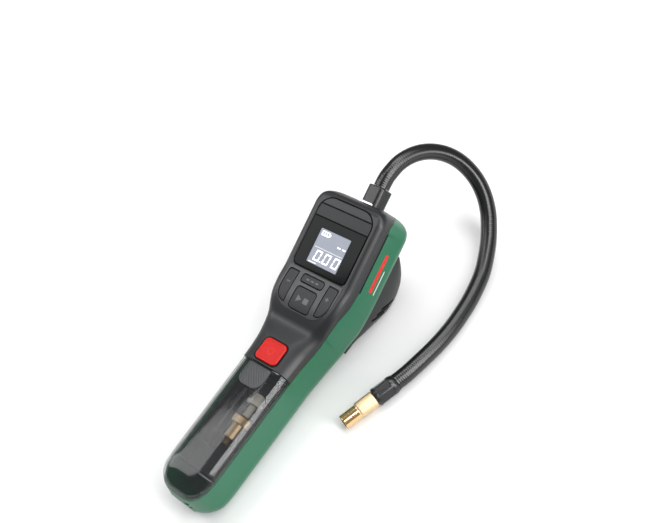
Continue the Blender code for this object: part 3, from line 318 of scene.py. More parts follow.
def piece(name, mesh, look, body="tool", stands_for=(), sharp=38):
    """A piece in the frame that rides on a body and stands for CAD nodes."""
    made = bpy.data.objects.new(name, mesh)
    bpy.context.scene.collection.objects.link(made)
    mesh.materials.clear()
    mesh.materials.append(LOOKS[look])
    mesh.shade_smooth()
    mesh.set_sharp_from_angle(angle=math.radians(sharp))
    even = made.modifiers.new("even_normals", "WEIGHTED_NORMAL")
    even.keep_sharp = True
    even.weight = 90
    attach(made, body)
    if stands_for:
        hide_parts(*stands_for)
    return made


# ---------------------------- makers of simple solids

def settled(obj):
    """The mesh that an object's modifiers or bevel make, in place of the object."""
    bpy.context.view_layer.update()
    graph = bpy.context.evaluated_depsgraph_get()
    mesh = bpy.data.meshes.new_from_object(obj.evaluated_get(graph))
    bpy.data.objects.remove(obj)
    return mesh


def helper(mesh):
    obj = bpy.data.objects.new("helper", mesh)
    bpy.context.scene.collection.objects.link(obj)
    return obj


def cleaned(mesh):
    """The mesh with touching points joined and every face pointing out."""
    work = bmesh.new()
    work.from_mesh(mesh)
    bmesh.ops.remove_doubles(work, verts=work.verts, dist=1e-6)
    bmesh.ops.recalc_face_normals(work, faces=work.faces)
    work.to_mesh(mesh)
    work.free()
    return mesh


def softened(mesh, width, segments=2, angle=35):
    """The mesh with its sharp edges rounded to that width."""
    work = bmesh.new()
    work.from_mesh(mesh)
    bmesh.ops.remove_doubles(work, verts=work.verts, dist=0.01 * MM)
    work.to_mesh(mesh)
    work.free()
    obj = helper(mesh)
    bevel = obj.modifiers.new("soften", "BEVEL")
    bevel.width = width * MM
    bevel.segments = segments
    bevel.angle_limit = math.radians(angle)
    bevel.use_clamp_overlap = False
    return settled(obj)


def combine(mesh, others, operation="DIFFERENCE"):
    """The mesh cut by, joined with or kept inside each of the others in turn."""
    base = helper(mesh)
    tools = [helper(other) for other in others]
    for tool in tools:
        modifier = base.modifiers.new("combine", "BOOLEAN")
        modifier.operation = operation
        modifier.object = tool
    result = settled(base)
    for tool in tools:
        bpy.data.objects.remove(tool)
    return result


def loft(rings, closed=True):
    """A mesh in metres through rings of the same count of points, with flat ends."""
    work = bmesh.new()
    rows = [[work.verts.new(Vector(point) * MM) for point in ring] for ring in rings]
    count = len(rows[0])
    for low, high in zip(rows, rows[1:]):
        for i in range(count):
            work.faces.new((low[i], low[(i + 1) % count], high[(i + 1) % count], high[i]))
    if closed:
        work.faces.new(rows[0])
        work.faces.new(rows[-1])
    else:
        for i in range(count):
            work.faces.new((rows[0][i], rows[0][(i + 1) % count], rows[-1][(i + 1) % count], rows[-1][i]))
    mesh = bpy.data.meshes.new("loft")
    work.to_mesh(mesh)
    work.free()
    return cleaned(mesh)


def prism(outline):
    """A solid through the tool's whole width, from an outline in s and r."""
    return loft([[(x, s, r) for s, r in outline] for x in (-WIDE, WIDE)])


FACING = {"r": Matrix.Identity(4), "s": Matrix.Rotation(-math.pi / 2, 4, "X")}


def quarter_turn(steps):
    """Angles from 0 to a right angle."""
    return [math.pi / 2 * step / steps for step in range(steps + 1)]


def turned(profile, facing="s", sides=48, flutes=0, flute_depth=0.0, fluted=()):
    """A solid turned from (radius, height) points down its outside; rings listed in fluted are knurled."""
    hollow = profile[0][0] > 0
    rings = []
    for i, (radius, height) in enumerate(profile):
        ring = []
        for side in range(sides):
            angle = 2 * math.pi * side / sides
            cut = flute_depth * (0.5 + 0.5 * math.cos(flutes * angle)) if i in fluted else 0.0
            reach = max(radius - cut, 1e-4)
            ring.append((reach * math.cos(angle), reach * math.sin(angle), height))
        rings.append(ring)
    mesh = loft(rings, closed=not hollow)
    mesh.transform(FACING[facing])
    return mesh


def rounded(width, height, corner, centre=(0, 0), steps=6):
    """The outline of a rounded rectangle, anticlockwise; corner is one radius, or the upper and the lower."""
    upper, lower = corner if isinstance(corner, tuple) else (corner, corner)
    corners = [(1, 1, upper), (-1, 1, upper), (-1, -1, lower), (1, -1, lower)]
    points = []
    for quarter, (a, b, radius) in enumerate(corners):
        for step in range(steps + 1):
            angle = math.pi / 2 * (quarter + step / steps)
            points.append((centre[0] + a * (width / 2 - radius) + radius * math.cos(angle),
                           centre[1] + b * (height / 2 - radius) + radius * math.sin(angle)))
    return points


def plate(outlines, low, high):
    """A mesh with the outlines in x and s, from r = low to r = high; outlines inside another are holes."""
    curve = bpy.data.curves.new("outline", "CURVE")
    curve.dimensions = "2D"
    curve.fill_mode = "BOTH"
    curve.extrude = (high - low) / 2 * MM
    for outline in outlines:
        spline = curve.splines.new("POLY")
        spline.points.add(len(outline) - 1)
        for point, (x, s) in zip(spline.points, outline):
            point.co = (x * MM, s * MM, 0, 1)
        spline.use_cyclic_u = True
    mesh = cleaned(settled(helper(curve)))
    mesh.transform(Matrix.Translation((0, 0, (low + high) / 2 * MM)))
    return mesh


def along_s(outlines, low, high):
    """A plate whose outline is in x and r and whose thickness runs along s."""
    mesh = plate(outlines, -high, -low)
    mesh.transform(Matrix.Rotation(math.pi / 2, 4, "X"))
    return mesh


def block(low, high):
    work = bmesh.new()
    bmesh.ops.create_cube(work, size=1.0)
    for vert in work.verts:
        vert.co = Vector([(a + b) / 2 * MM + c * (b - a) * MM for a, b, c in zip(low, high, vert.co)])
    mesh = bpy.data.meshes.new("block")
    work.to_mesh(mesh)
    work.free()
    return mesh


def moved(mesh, x=0.0, s=0.0, r=0.0):
    mesh.transform(Matrix.Translation(Vector((x, s, r)) * MM))
    return mesh


def disc(radius, low, high, facing="r", sides=32):
    return turned([(0, high), (radius, high), (radius, low), (0, low)], facing, sides)


# ---------------------------- outer form

# s, half width, front, back, the front corner's width and depth
FORM = [
    (HEAD_TOP, HEAD - 9.6, -8.0, BACK + 6.5, 5.0, 3.0),
    (HEAD_TOP - 1, HEAD - 6.2, -4.4, BACK + 3.6, 5.0, 4.0),
    (HEAD_TOP - 3, HEAD - 3.2, -1.5, BACK + 1.6, 4.5, 4.5),
    (HEAD_TOP - 6, HEAD - 1.1, -0.3, BACK + 0.4, 4.5, 4.8),
    (HEAD_TOP - 11, HEAD, 0.0, BACK, 4.5, 5.0),
    (-16.0, HEAD, 0.0, BACK, 4.5, 5.0),
    (-26.0, HEAD - 0.3, 1.5, BACK, 4.7, 5.0),
    (-36.0, HEAD - 1.2, 2.4, BACK, 5.5, 5.0),
    (-43.0, HEAD - 2.6, 1.7, BACK + 0.5, 7.0, 5.0),
    (-49.0, (HEAD + HAND) / 2 + 0.2, 0.7, BACK + 1.2, 9.0, 5.2),
    (-55.0, HAND + 2.8, 1.9, HAND_BACK - 0.2, 11.0, 5.8),
    (-60.0, HAND + 1.5, 2.9, HAND_BACK, 12.5, 6.2),
    (HANDLE_START, HAND + 0.7, HANDLE_FRONT, HAND_BACK, 13.5, 6.4),
    (HANDLE_START - 11, HAND, HANDLE_FRONT, HAND_BACK, 14.0, 6.5),
    (TAIL_END + 60, HAND - 0.2, HANDLE_FRONT, HAND_BACK, 14.0, 6.5),
    (TAIL_END + 20, HAND - 0.5, HANDLE_FRONT, HAND_BACK, 14.0, 6.5),
    (TAIL_END + 13, HAND - 1.1, HANDLE_FRONT - 0.6, HAND_BACK + 0.4, 13.0, 6.5),
    (TAIL_END + 7, HAND - 3.2, HANDLE_FRONT - 2.6, HAND_BACK + 2.6, 11.0, 6.0),
    (TAIL_END + 3, HAND - 6.6, HANDLE_FRONT - 6.0, HAND_BACK + 6.4, 8.5, 5.0),
    (TAIL_END, HAND - 11.5, HANDLE_FRONT - 13.0, HAND_BACK + 12.0, 5.0, 3.5),
]


def slope(before, here, after, column):
    """How fast a column of a table changes at a station, with no overshoot."""
    rise_in = (here[column] - before[column]) / (here[0] - before[0])
    rise_out = (after[column] - here[column]) / (after[0] - here[0])
    return 2 * rise_in * rise_out / (rise_in + rise_out) if rise_in * rise_out > 0 else 0.0


def column_at(table, s, column):
    """A column of a table at s, on a smooth curve through the table's stations."""
    i = 0
    while i < len(table) - 2 and s < table[i + 1][0]:
        i += 1
    high, low = table[i], table[i + 1]
    span = high[0] - low[0]
    t = min(max((s - low[0]) / span, 0.0), 1.0)
    straight = (high[column] - low[column]) / span
    at_low = slope(high, low, table[i + 2], column) if i + 2 < len(table) else straight
    at_high = slope(table[i - 1], high, low, column) if i else straight
    return ((2 * t ** 3 - 3 * t ** 2 + 1) * low[column] + (t ** 3 - 2 * t ** 2 + t) * span * at_low
            + (3 * t ** 2 - 2 * t ** 3) * high[column] + (t ** 3 - t ** 2) * span * at_high)


def form_at(s):
    """(half width, front, back, corner width, corner depth) at s."""
    return [column_at(FORM, s, column) for column in range(1, 6)]


def front_at(s):
    return form_at(s)[1]


def ring(s, inset=0.0):
    """One cross-section of the outer form, or of a form that lies inset inside it."""
    half, front, back, corner_x, corner_r = form_at(s)
    half, front, back = half - inset, front - inset, back + inset
    corner_x = max(min(corner_x, half) - inset, 0.8)
    corner_r = max(corner_r - inset, 0.8)
    corner_back = max(min(BACK_CORNER, half * 0.8, (front - back) * 0.45) - inset, 0.8)
    side = [(half - corner_x + corner_x * math.sin(angle), front - corner_r + corner_r * math.cos(angle))
            for angle in quarter_turn(12)]
    side += [(half - corner_back + corner_back * math.cos(angle),
              back + corner_back - corner_back * math.sin(angle)) for angle in quarter_turn(10)]
    return [(x, s, r) for x, r in side] + [(-x, s, r) for x, r in reversed(side)]


def form(inset=0.0, top=HEAD_TOP, end=TAIL_END):
    """The outer form, or the hollow that lies inset inside it, with more sections where it curves."""
    places = [top - inset]
    while places[-1] > end + inset:
        s = places[-1]
        near_end = s > HEAD_TOP - 12 or s < TAIL_END + 15
        places.append(max(s - (0.7 if near_end else 2.4), end + inset))
    return loft([ring(s, inset) for s in places])


def split_prism(offset, side):
    """All that lies above (side 1) or below (side -1) the line where the front meets the rear shell."""
    line = [(HEAD_TOP + 6, OUTLET_DEPTH), (HEAD_TOP, OUTLET_DEPTH), (HEAD_TOP - 3.5, HEAD_SPLIT - 4.5),
            (HEAD_TOP - 8, HEAD_SPLIT - 0.8), (HEAD_TOP - 12, HEAD_SPLIT), (-15.0, HEAD_SPLIT),
            (-26.0, HEAD_SPLIT + 1.4), (-36.0, HANDLE_SPLIT + 2.8), (-43.0, HANDLE_SPLIT + 3.0),
            (-49.0, HANDLE_SPLIT + 2.2), (-55.0, HANDLE_SPLIT + 1.0), (-60.0, HANDLE_SPLIT + 0.2),
            (HANDLE_START, HANDLE_SPLIT), (TAIL_END - 6, HANDLE_SPLIT)]
    far = DEEP * side
    return prism([(s, r + offset) for s, r in line] + [(TAIL_END - 6, far), (HEAD_TOP + 6, far)])


def under_front(offset, low=HANDLE_START, high=HEAD_TOP - 3):
    """All that lies under the head's front face moved out by offset."""
    count = int((high - low) / 2.0)
    line = [(high + (low - high) * i / count, front_at(high + (low - high) * i / count) + offset)
            for i in range(count + 1)]
    return prism(line + [(line[-1][0], -DEEP), (line[0][0], -DEEP)])


# ---------------------------- outlines of the keys

def side_key_outline(side, grow=0.0):
    """A tall key whose outer end is round at the bottom corner."""
    low_x, high_x = SIDE_KEY_IN - grow, SIDE_KEY_OUT + grow
    top, end = SIDE_KEY_TOP + grow, SIDE_KEY_END - grow
    reach = high_x - low_x
    points = [(low_x, top), (low_x, end)]
    points += [(low_x + 1.2 + (reach - 1.2) * math.sin(angle), end + 9.0 - 9.0 * math.cos(angle))
               for angle in quarter_turn(11)]
    points += [(high_x, top - 1.5), (high_x - 0.5, top - 0.5), (high_x - 1.5, top)]
    return [(side * x, s) for x, s in points][::-side]


def box_key_outline(key, corner, grow=0.0):
    x, s, width, height = key
    return rounded(width + 2 * grow, height + 2 * grow, corner + grow, (x, s))


def key_outlines(grow=0.0):
    return {"unit_button": box_key_outline(UNIT_KEY, 1.4, grow),
            "start_stop_button": box_key_outline(START_KEY, 2.0, grow),
            "minus_button": side_key_outline(-1, grow),
            "plus_button": side_key_outline(1, grow)}


def surround_outline(grow=0.0):
    """The panel around the keys: square on top, a wide round U below."""
    side = [(SIDE_KEY_OUT + 1.7 + grow, -16.5 + grow)]
    side += [(9.0 + (12.1 + grow) * math.cos(angle), -27.0 - (14.8 + grow) * math.sin(angle))
             for angle in quarter_turn(12)]
    return [(-x, s) for x, s in side] + [(x, s) for x, s in reversed(side)]


def face_outline(grow=0.0):
    height = FACE_TOP - FACE_END + 2 * grow
    middle = (0, (FACE_TOP + FACE_END) / 2)
    return rounded(2 * (FACE_HALF + grow), height, (10.0 + grow, 3.6 + grow), middle, 10)


def display_window(size):
    """The outline of a square opening around the display."""
    return rounded(size, size, 1.5, (0, 0.8))


# ---------------------------- shells

def gland_hole(grow):
    width = GLAND_WIDTH + 2 * grow
    outline = rounded(width, width, GLAND_CORNER + grow, (0, OUTLET_DEPTH))
    return along_s([outline], HEAD_TOP - 10, HEAD_TOP + 20)


def slab(top, end):
    return block((-WIDE, end, -DEEP), (WIDE, top, WIDE))


def make_casing():
    """The dark front of head, neck and handle, with its face recess, key wells and light slot."""
    shell = combine(form(), [form(WALL)])
    rim = loft([[(x, s, r) for x, s in face_outline(grow)] for r, grow in
                [(-FACE_RECESS, 0.0), (-0.45, 0.0), (-0.1, 0.25), (0.4, 0.8), (4.0, 0.8)]])
    slot = rounded(LIGHT_WIDTH + 2 * GAP, LIGHT_HEIGHT + 2 * GAP, 1.5, (0, LIGHT_DEPTH))
    holes = [display_window(CASING_WINDOW), *key_outlines(KEY_GAP).values(),
             box_key_outline(POWER_KEY, POWER_CORNER, KEY_GAP)]
    cutters = [split_prism(GAP / 2, -1), slab(COVER_TOP, TAIL_END - 10), rim, gland_hole(GAP),
               along_s([slot], HEAD_TOP - 8, HEAD_TOP + 8)]
    cutters += [plate([outline], -THROUGH, THROUGH) for outline in holes]
    mesh = softened(combine(shell, cutters), 0.28)
    return piece("front_casing", place(mesh), "casing", stands_for=["front_shell"])


def under_floor(node):
    """A thick slab, in the frame's own directions, under the lowest place of a CAD node."""
    return block((-80, -300, -60), (80, 300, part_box(node)[0].z / MM))


def make_rear_casing():
    """The green rear shell, with the notch along its seam, the flap's pocket, screw holes and tail slits."""
    shell = combine(form(), [form(WALL)])
    opening = block((-WIDE, HOUSING_END, -DEEP), (WIDE, HOUSING_TOP, HOUSING_SPLIT + GAP / 2))
    cutters = [split_prism(-GAP / 2, 1), opening, gland_hole(GAP)]
    for side in (-1, 1):
        low, high = sorted([side * (HEAD - NOTCH_BITE), side * (HEAD + 4)])
        cutters.append(block((low, -15.0, HEAD_SPLIT - SEAM_NOTCH), (high, 24.0, HEAD_SPLIT + 2)))
    flap_s, flap_r, flap_length, flap_height = FLAP
    cutters.append(block((-HEAD - 3, flap_s - flap_length / 2, flap_r - flap_height / 2),
                         (-HEAD + 1.1, flap_s + flap_length / 2, flap_r + flap_height / 2)))
    for x, s in POSTS:
        cutters.append(moved(disc(2.9, -60, form_at(s)[2] + SCREW_SINK), x, s))
    for r in (HANDLE_SPLIT - 5.0, HANDLE_SPLIT - 9.6):
        cutters.append(block((-8.2, TAIL_END - 5, r - 0.9), (8.2, TAIL_END + 9.0, r + 0.9)))
    mesh = combine(place(softened(combine(shell, cutters), 0.28)), [under_floor("rear_shell")])
    return piece("rear_casing", mesh, "green", stands_for=["rear_shell"])


def make_seam_shades():
    """A near-black strip in the notch along each side of the head, between the casing and the green shell:
    painted shade in the notch.
    """
    for name, side in [("seam_shade_left", -1), ("seam_shade_right", 1)]:
        low_x, high_x = sorted([side * (HEAD - NOTCH_BITE), side * (HEAD - 0.25)])
        strip = block((low_x, -14.8, HEAD_SPLIT - SEAM_NOTCH + 0.05),
                      (high_x, 23.8, HEAD_SPLIT + GAP / 2 - 0.05))
        # Painted shade: a near-black strip that darkens the notch
        piece(name, place(strip), "gap_shade")


# s and depth behind the seam of the black housing over the motor
HOUSING = [(HOUSING_TOP, 5.0), (13.5, 12.5), (10.0, 20.0), (6.0, 26.0), (0.0, 31.0), (-8.0, HOUSING_DEPTH),
           (-16.0, 31.0), (-23.0, 25.5), (-30.0, 19.0), (-37.0, 12.0), (-43.0, 7.2), (HOUSING_END, 4.0)]

# 1 makes the housing's section an ellipse, and less makes it squarer
HOUSING_ROUNDNESS = 0.625


def housing_form(inset=0.0, lip=-GAP / 2):
    """The housing's outer form, or the hollow inside it, from lip above the seam down."""
    rings = []
    top, end = HOUSING_TOP - GAP - inset, HOUSING_END + GAP + inset
    count = 44
    for i in range(count + 1):
        s = top + (end - top) * i / count
        half = form_at(s)[0] - HOUSING_INSET - inset
        depth = column_at(HOUSING, s, 1) - inset
        points = [(half, s, HOUSING_SPLIT + lip)]
        points += [(half * math.cos(angle) ** HOUSING_ROUNDNESS, s,
                    HOUSING_SPLIT - GAP - depth * math.sin(angle) ** HOUSING_ROUNDNESS)
                   for angle in quarter_turn(16)]
        rings.append(points + [(-x, s, r) for x, s, r in reversed(points[:-1])])
    return loft(rings)


def make_housing():
    """The black cover over the motor, with its slanted vents, cut flat where it stands."""
    shell = combine(housing_form(), [housing_form(WALL, 3.0)])
    vents = []
    for side in (-1, 1):
        for i in range(3):
            vent = block((-8, -6.5, -0.8), (8, 6.5, 0.8))
            vent.transform(Matrix.Rotation(math.radians(-50), 4, "X"))
            vents.append(moved(vent, side * HEAD, -14.0 - 4.6 * i, -50.5 + 2.0 * i))
    mesh = combine(place(softened(combine(shell, vents), 0.25)), [under_floor("rear_housing")])
    return piece("motor_housing", mesh, "housing", stands_for=["rear_housing"])


make_casing()
make_rear_casing()
make_seam_shades()
make_housing()


# ---------------------------- display and face

def face_part(low_s, high_s, top):
    """What fills the face recess between two places along s, up to r = top."""
    body = plate([face_outline(-FACE_GAP)], GAP - FACE_RECESS, top)
    return combine(body, [block((-WIDE, low_s, -THROUGH), (WIDE, high_s, THROUGH))], "INTERSECT")


def make_face():
    """The domed top panel, the plain band, the glossy window, and under them a near-black sheet that shows in
    the gap around them as painted shade.
    """
    dome = softened(face_part(BAND_TOP + GAP, WIDE, 0.25), 0.25)
    piece("top_panel", place(dome), "dome", stands_for=["face_panel"])
    band = softened(face_part(BAND_END + GAP, BAND_TOP - GAP, -0.05), 0.22)
    piece("emblem_band", place(band), "band")
    opening = plate([rounded(2 * SCREEN_HALF + 0.1, SCREEN_TOP - SCREEN_END + 0.1, 0.5, SCREEN_MIDDLE, 2)],
                    -0.16, 2.0)
    window = softened(combine(face_part(-WIDE, BAND_END - GAP, 0.0), [opening]), 0.2)
    piece("display_window", place(window), "lens", stands_for=["display_lens"])
    # Painted shade: a near-black sheet on the floor of the face recess, seen only in the gap around the face
    # parts
    shade_sheet = plate([face_outline(-0.05), display_window(SHADE_SHEET_WINDOW)], -FACE_RECESS,
                   GAP - FACE_RECESS - 0.05)
    piece("face_gap_shade", place(shade_sheet), "gap_shade")


DIGIT_WIDTH = 4.5
DIGIT_HEIGHT = 6.7
DIGIT_STROKE = 0.8
SEGMENT_SPACE = 0.16
SLANT = 0.12
DIGITS_LEVEL = -8.7
MARKS_LEVEL = 4.0
BATTERY_LEVEL = 8.6


def bar(x, s, width, height, at=(0.0, 0.0)):
    """A flat bar of a digit, slanted as the whole digit is."""
    corners = [(x - width / 2, s - height / 2), (x + width / 2, s - height / 2),
               (x + width / 2, s + height / 2), (x - width / 2, s + height / 2)]
    return [(at[0] + cx + SLANT * cs, at[1] + cs) for cx, cs in corners]


def zero(at):
    """The six lit segments of a seven-segment zero, from its lower left corner."""
    width, height, stroke = DIGIT_WIDTH, DIGIT_HEIGHT, DIGIT_STROKE
    wide = width - 2 * stroke - 2 * SEGMENT_SPACE
    tall = height / 2 - 1.5 * SEGMENT_SPACE
    bars = [bar(width / 2, s, wide, stroke, at) for s in (stroke / 2, height - stroke / 2)]
    for x in (stroke / 2, width - stroke / 2):
        bars += [bar(x, s, stroke, tall, at) for s in (tall / 2, height - tall / 2)]
    return bars


def make_screen():
    """The lit display: background, a big zero reading, two dashes, a battery sign and unit marks."""
    panel = plate([rounded(2 * SCREEN_HALF, SCREEN_TOP - SCREEN_END, 0.4, SCREEN_MIDDLE, 2)], -0.15, -0.06)
    piece("screen", place(panel), "screen")
    digits = [outline for i in range(3) for outline in zero((-8.3 + 7.1 * i, DIGITS_LEVEL))]
    digits.append(bar(0.0, 0.4, 0.9, 0.8, (-2.5, DIGITS_LEVEL)))
    digits += [bar(5.4, MARKS_LEVEL, 2.4, 0.8), bar(9.3, MARKS_LEVEL, 2.4, 0.8)]
    digits += [bar(0.0, 0.0, 1.0, 0.55, (-9.7 + 1.5 * i, -10.25)) for i in range(4)]
    battery = [rounded(6.0, 3.0, 0.4, (-6.9, BATTERY_LEVEL), 2),
               rounded(0.7, 1.4, 0.1, (-3.4, BATTERY_LEVEL), 1)]
    for name, outlines, look in [("screen_digits", digits + battery, "segment"),
                                 ("screen_rule", [rounded(21.5, 0.35, 0.1, (0.2, -0.6), 1)], "faint")]:
        piece(name, place(plate(outlines, -0.058, -0.045)), look)
    bars = [rounded(1.2, 1.8, 0.1, (-8.6 + 1.7 * i, BATTERY_LEVEL), 1) for i in range(3)]
    piece("battery_bars", place(plate(bars, -0.044, -0.04)), "screen")


# ---------------------------- keys

def on_surface(outlines, low, high):
    """A thin print or rib that follows the head's front face, from low to high above it."""
    body = combine(plate(outlines, -4.0, 8.0), [under_front(high)], "INTERSECT")
    return combine(body, [under_front(low)])


def make_surround():
    """The lighter panel between and around the keys."""
    holes = list(key_outlines(KEY_GAP + 0.1).values())
    body = on_surface([surround_outline()] + holes, -0.6, 0.32)
    piece("key_surround", place(softened(body, 0.12, 2, 60)), "surround")


def sign_outlines(name):
    """Plain signs for the keys: bars for minus and plus, a triangle and a square for start and stop."""
    x, s = (SIDE_KEY_IN + SIDE_KEY_OUT) / 2 - 0.3, -26.6
    if name == "minus_button":
        return [rounded(2.6, 0.7, 0.2, (-x, s), 1)]
    if name == "plus_button":
        arm = 0.35
        return [[(x + a * u, s + b * v) for a, b, u, v in
                 [(1, 1, 1.3, arm), (1, 1, arm, arm), (1, 1, arm, 1.3), (-1, 1, arm, 1.3), (-1, 1, arm, arm),
                  (-1, 1, 1.3, arm), (-1, -1, 1.3, arm), (-1, -1, arm, arm), (-1, -1, arm, 1.3),
                  (1, -1, arm, 1.3), (1, -1, arm, arm), (1, -1, 1.3, arm)]]]
    if name == "start_stop_button":
        x, s = START_KEY[:2]
        return [[(x - 4.2, s - 2.2), (x - 0.6, s), (x - 4.2, s + 2.2)],
                rounded(3.6, 3.6, 0.4, (x + 2.8, s), 2)]
    x, s = UNIT_KEY[:2]
    return [rounded(2.2, 1.0, 0.3, (x - 3.6 + 3.6 * i, s), 2) for i in range(3)]


def make_keys():
    """The four keys of the head: a rounded cap on a flange, with a thin sign on top."""
    flanges = key_outlines(0.9)
    for name, outline in key_outlines().items():
        cap = combine(plate([outline], KEY_SEAT - 0.5, 6.0), [under_front(KEY_PROUD)], "INTERSECT")
        cap = combine(softened(cap, 0.45, 3), [plate([flanges[name]], KEY_SEAT - 1.0, KEY_SEAT)], "UNION")
        piece(name + "_cap", place(cap), "key", name, [name])
        sign = on_surface(sign_outlines(name), KEY_PROUD - 0.1, KEY_PROUD + 0.04)
        piece(name + "_sign", place(sign), "sign", name)


def make_power_key():
    """The red power button with a raised edge and a moulded power sign, in a well darkened by a near-black
    ring of painted shade.
    """
    def outline(grow=0.0):
        return box_key_outline(POWER_KEY, POWER_CORNER, grow)

    top = HANDLE_FRONT + 0.9
    cap = softened(plate([outline()], -0.2, top), 0.7, 4)
    dish = plate([outline(-1.7)], top - 0.3, top + 3)
    cap = softened(combine(cap, [dish]), 0.15, 2, 50)
    cap = combine(cap, [plate([outline(1.1)], -0.6, 0.4)], "UNION")
    piece("power_cap", place(cap), "red", "power_button", ["power_button"])
    # Painted shade: a near-black ring in the gap around the key
    well = plate([outline(1.0), outline(0.25)], HANDLE_FRONT - 0.5, HANDLE_FRONT + 0.05)
    piece("power_well_shade", place(softened(well, 0.04)), "gap_shade")
    x, s = POWER_KEY[:2]
    outer, inner, open_half = 2.4, 1.8, math.radians(30)
    count = 20
    angles = [math.pi / 2 + open_half + (2 * math.pi - 2 * open_half) * i / count for i in range(count + 1)]
    arc = [(x + outer * math.cos(a), s + outer * math.sin(a)) for a in angles]
    arc += [(x + inner * math.cos(a), s + inner * math.sin(a)) for a in reversed(angles)]
    sign = plate([arc, rounded(0.6, 2.2, 0.2, (x, s + 1.7), 1)], top - 0.35, top - 0.14)
    piece("power_sign", place(sign), "red_print", "power_button")


make_face()
make_screen()
make_surround()
make_keys()
make_power_key()


# ---------------------------- side print and charging flap

def make_side_stripe():
    """A plain red bar and a thin white line on the side of the green shell, in place of any lettering."""
    for name, look, width, length, r, s in [("side_stripe", "red_print", 3.4, 25.0, -19.4, 0.5),
                                            ("side_line", "white_print", 0.8, 16.0, -24.2, -4.5)]:
        outline = rounded(length, width, width * 0.35, (s, r), 4)
        mesh = plate([outline], 0.0, 0.05)
        turn = Matrix(((0, 0, 1), (1, 0, 0), (0, 1, 0))).to_4x4()
        mesh.transform(Matrix.Translation((HEAD * MM, 0, 0)) @ turn)
        piece(name, place(mesh), look)


def make_flap():
    """The rubber flap over the charging socket, with a finger lip along its free edge."""
    flap_s, flap_r, flap_length, flap_height = FLAP
    body = block((-HEAD - 0.4, flap_s - flap_length / 2 + 0.4, flap_r - flap_height / 2 + GAP),
                 (-HEAD + 0.8, flap_s + flap_length / 2 - 0.4, flap_r + flap_height / 2 - GAP))
    lip = block((-HEAD - 0.9, flap_s - 3.0, flap_r + flap_height / 2 - 1.6),
                (-HEAD - 0.1, flap_s + 3.0, flap_r + flap_height / 2 - 0.9))
    mesh = combine(softened(body, 0.35, 3), [softened(lip, 0.2)], "UNION")
    piece("charging_cover", place(mesh), "rubber", "flap", ["charging_flap"])


make_side_stripe()
make_flap()


# ---------------------------- handle: cover, tray and adapters

def below_line(offset):
    """All that lies below the seam line moved up by offset, along the handle."""
    end, top, level = TAIL_END - 30, COVER_TOP + 40, HANDLE_SPLIT + offset
    return prism([(end, level), (top, level), (top, -DEEP), (end, -DEEP)])


def make_cover():
    """The smoke-clear cover: a slightly slimmer dome that stands on a ledge along its lower edge."""
    ledge = combine(form(), [below_line(COVER_LEDGE)], "INTERSECT")
    solid = combine(ledge, [form(COVER_STEP)], "UNION")
    above = slab(HEAD_TOP + 20, COVER_TOP - GAP)
    mesh = softened(combine(solid, [form(COVER_WALL), split_prism(GAP / 2, -1), above]), 0.12, 2, 60)
    return piece("clear_cover", place(mesh), "smoke", "cover", ["storage_cover"])


PAD_HALF = 8.6
PAD_TOP = COVER_TOP - 1.6
PAD_LENGTH = 14.4


def make_pad():
    """The thumb pad: slanting ribs in a raised rim all round them."""
    middle = (0, PAD_TOP - PAD_LENGTH / 2)
    outer = rounded(2 * PAD_HALF, PAD_LENGTH, (1.2, 5.5), middle, 8)
    inner = rounded(2 * PAD_HALF - 1.2, PAD_LENGTH - 1.2, (0.7, 4.9), middle, 8)

    def skin(inset):
        return [form(inset, COVER_TOP + 10)]

    base = combine(combine(plate([outer], -3.0, 8.0), skin(-0.12), "INTERSECT"), skin(0.55))
    piece("pad_base", place(base), "pad", "cover")
    rim = combine(combine(plate([outer, inner], -3.0, 8.0), skin(-0.55), "INTERSECT"), skin(0.0))
    piece("pad_rim", place(softened(rim, 0.15, 2, 40)), "pad", "cover")
    bars = []
    for i in range(13):
        rib = block((-0.36, -14.0, -3.0), (0.36, 14.0, 8.0))
        rib.transform(Matrix.Rotation(math.radians(38), 4, "Z"))
        bars.append(moved(rib, -12.0 + 2.0 * i, middle[1]))
    ribs = combine(bars[0], bars[1:], "UNION")
    field = combine(plate([inner], -3.0, 8.0), skin(-0.5), "INTERSECT")
    ribs = combine(combine(ribs, [field], "INTERSECT"), skin(0.05))
    piece("pad_ribs", place(softened(ribs, 0.14, 2, 40)), "pad", "cover")


def thread(radius, depth, top, end, pitch=1.0):
    """(radius, height) points of a ridged stretch, from the top down."""
    points = []
    count = int((top - end) / pitch)
    for i in range(count):
        points += [(radius, top - pitch * i), (radius - depth, top - pitch * (i + 0.5))]
    return points + [(radius, end)]


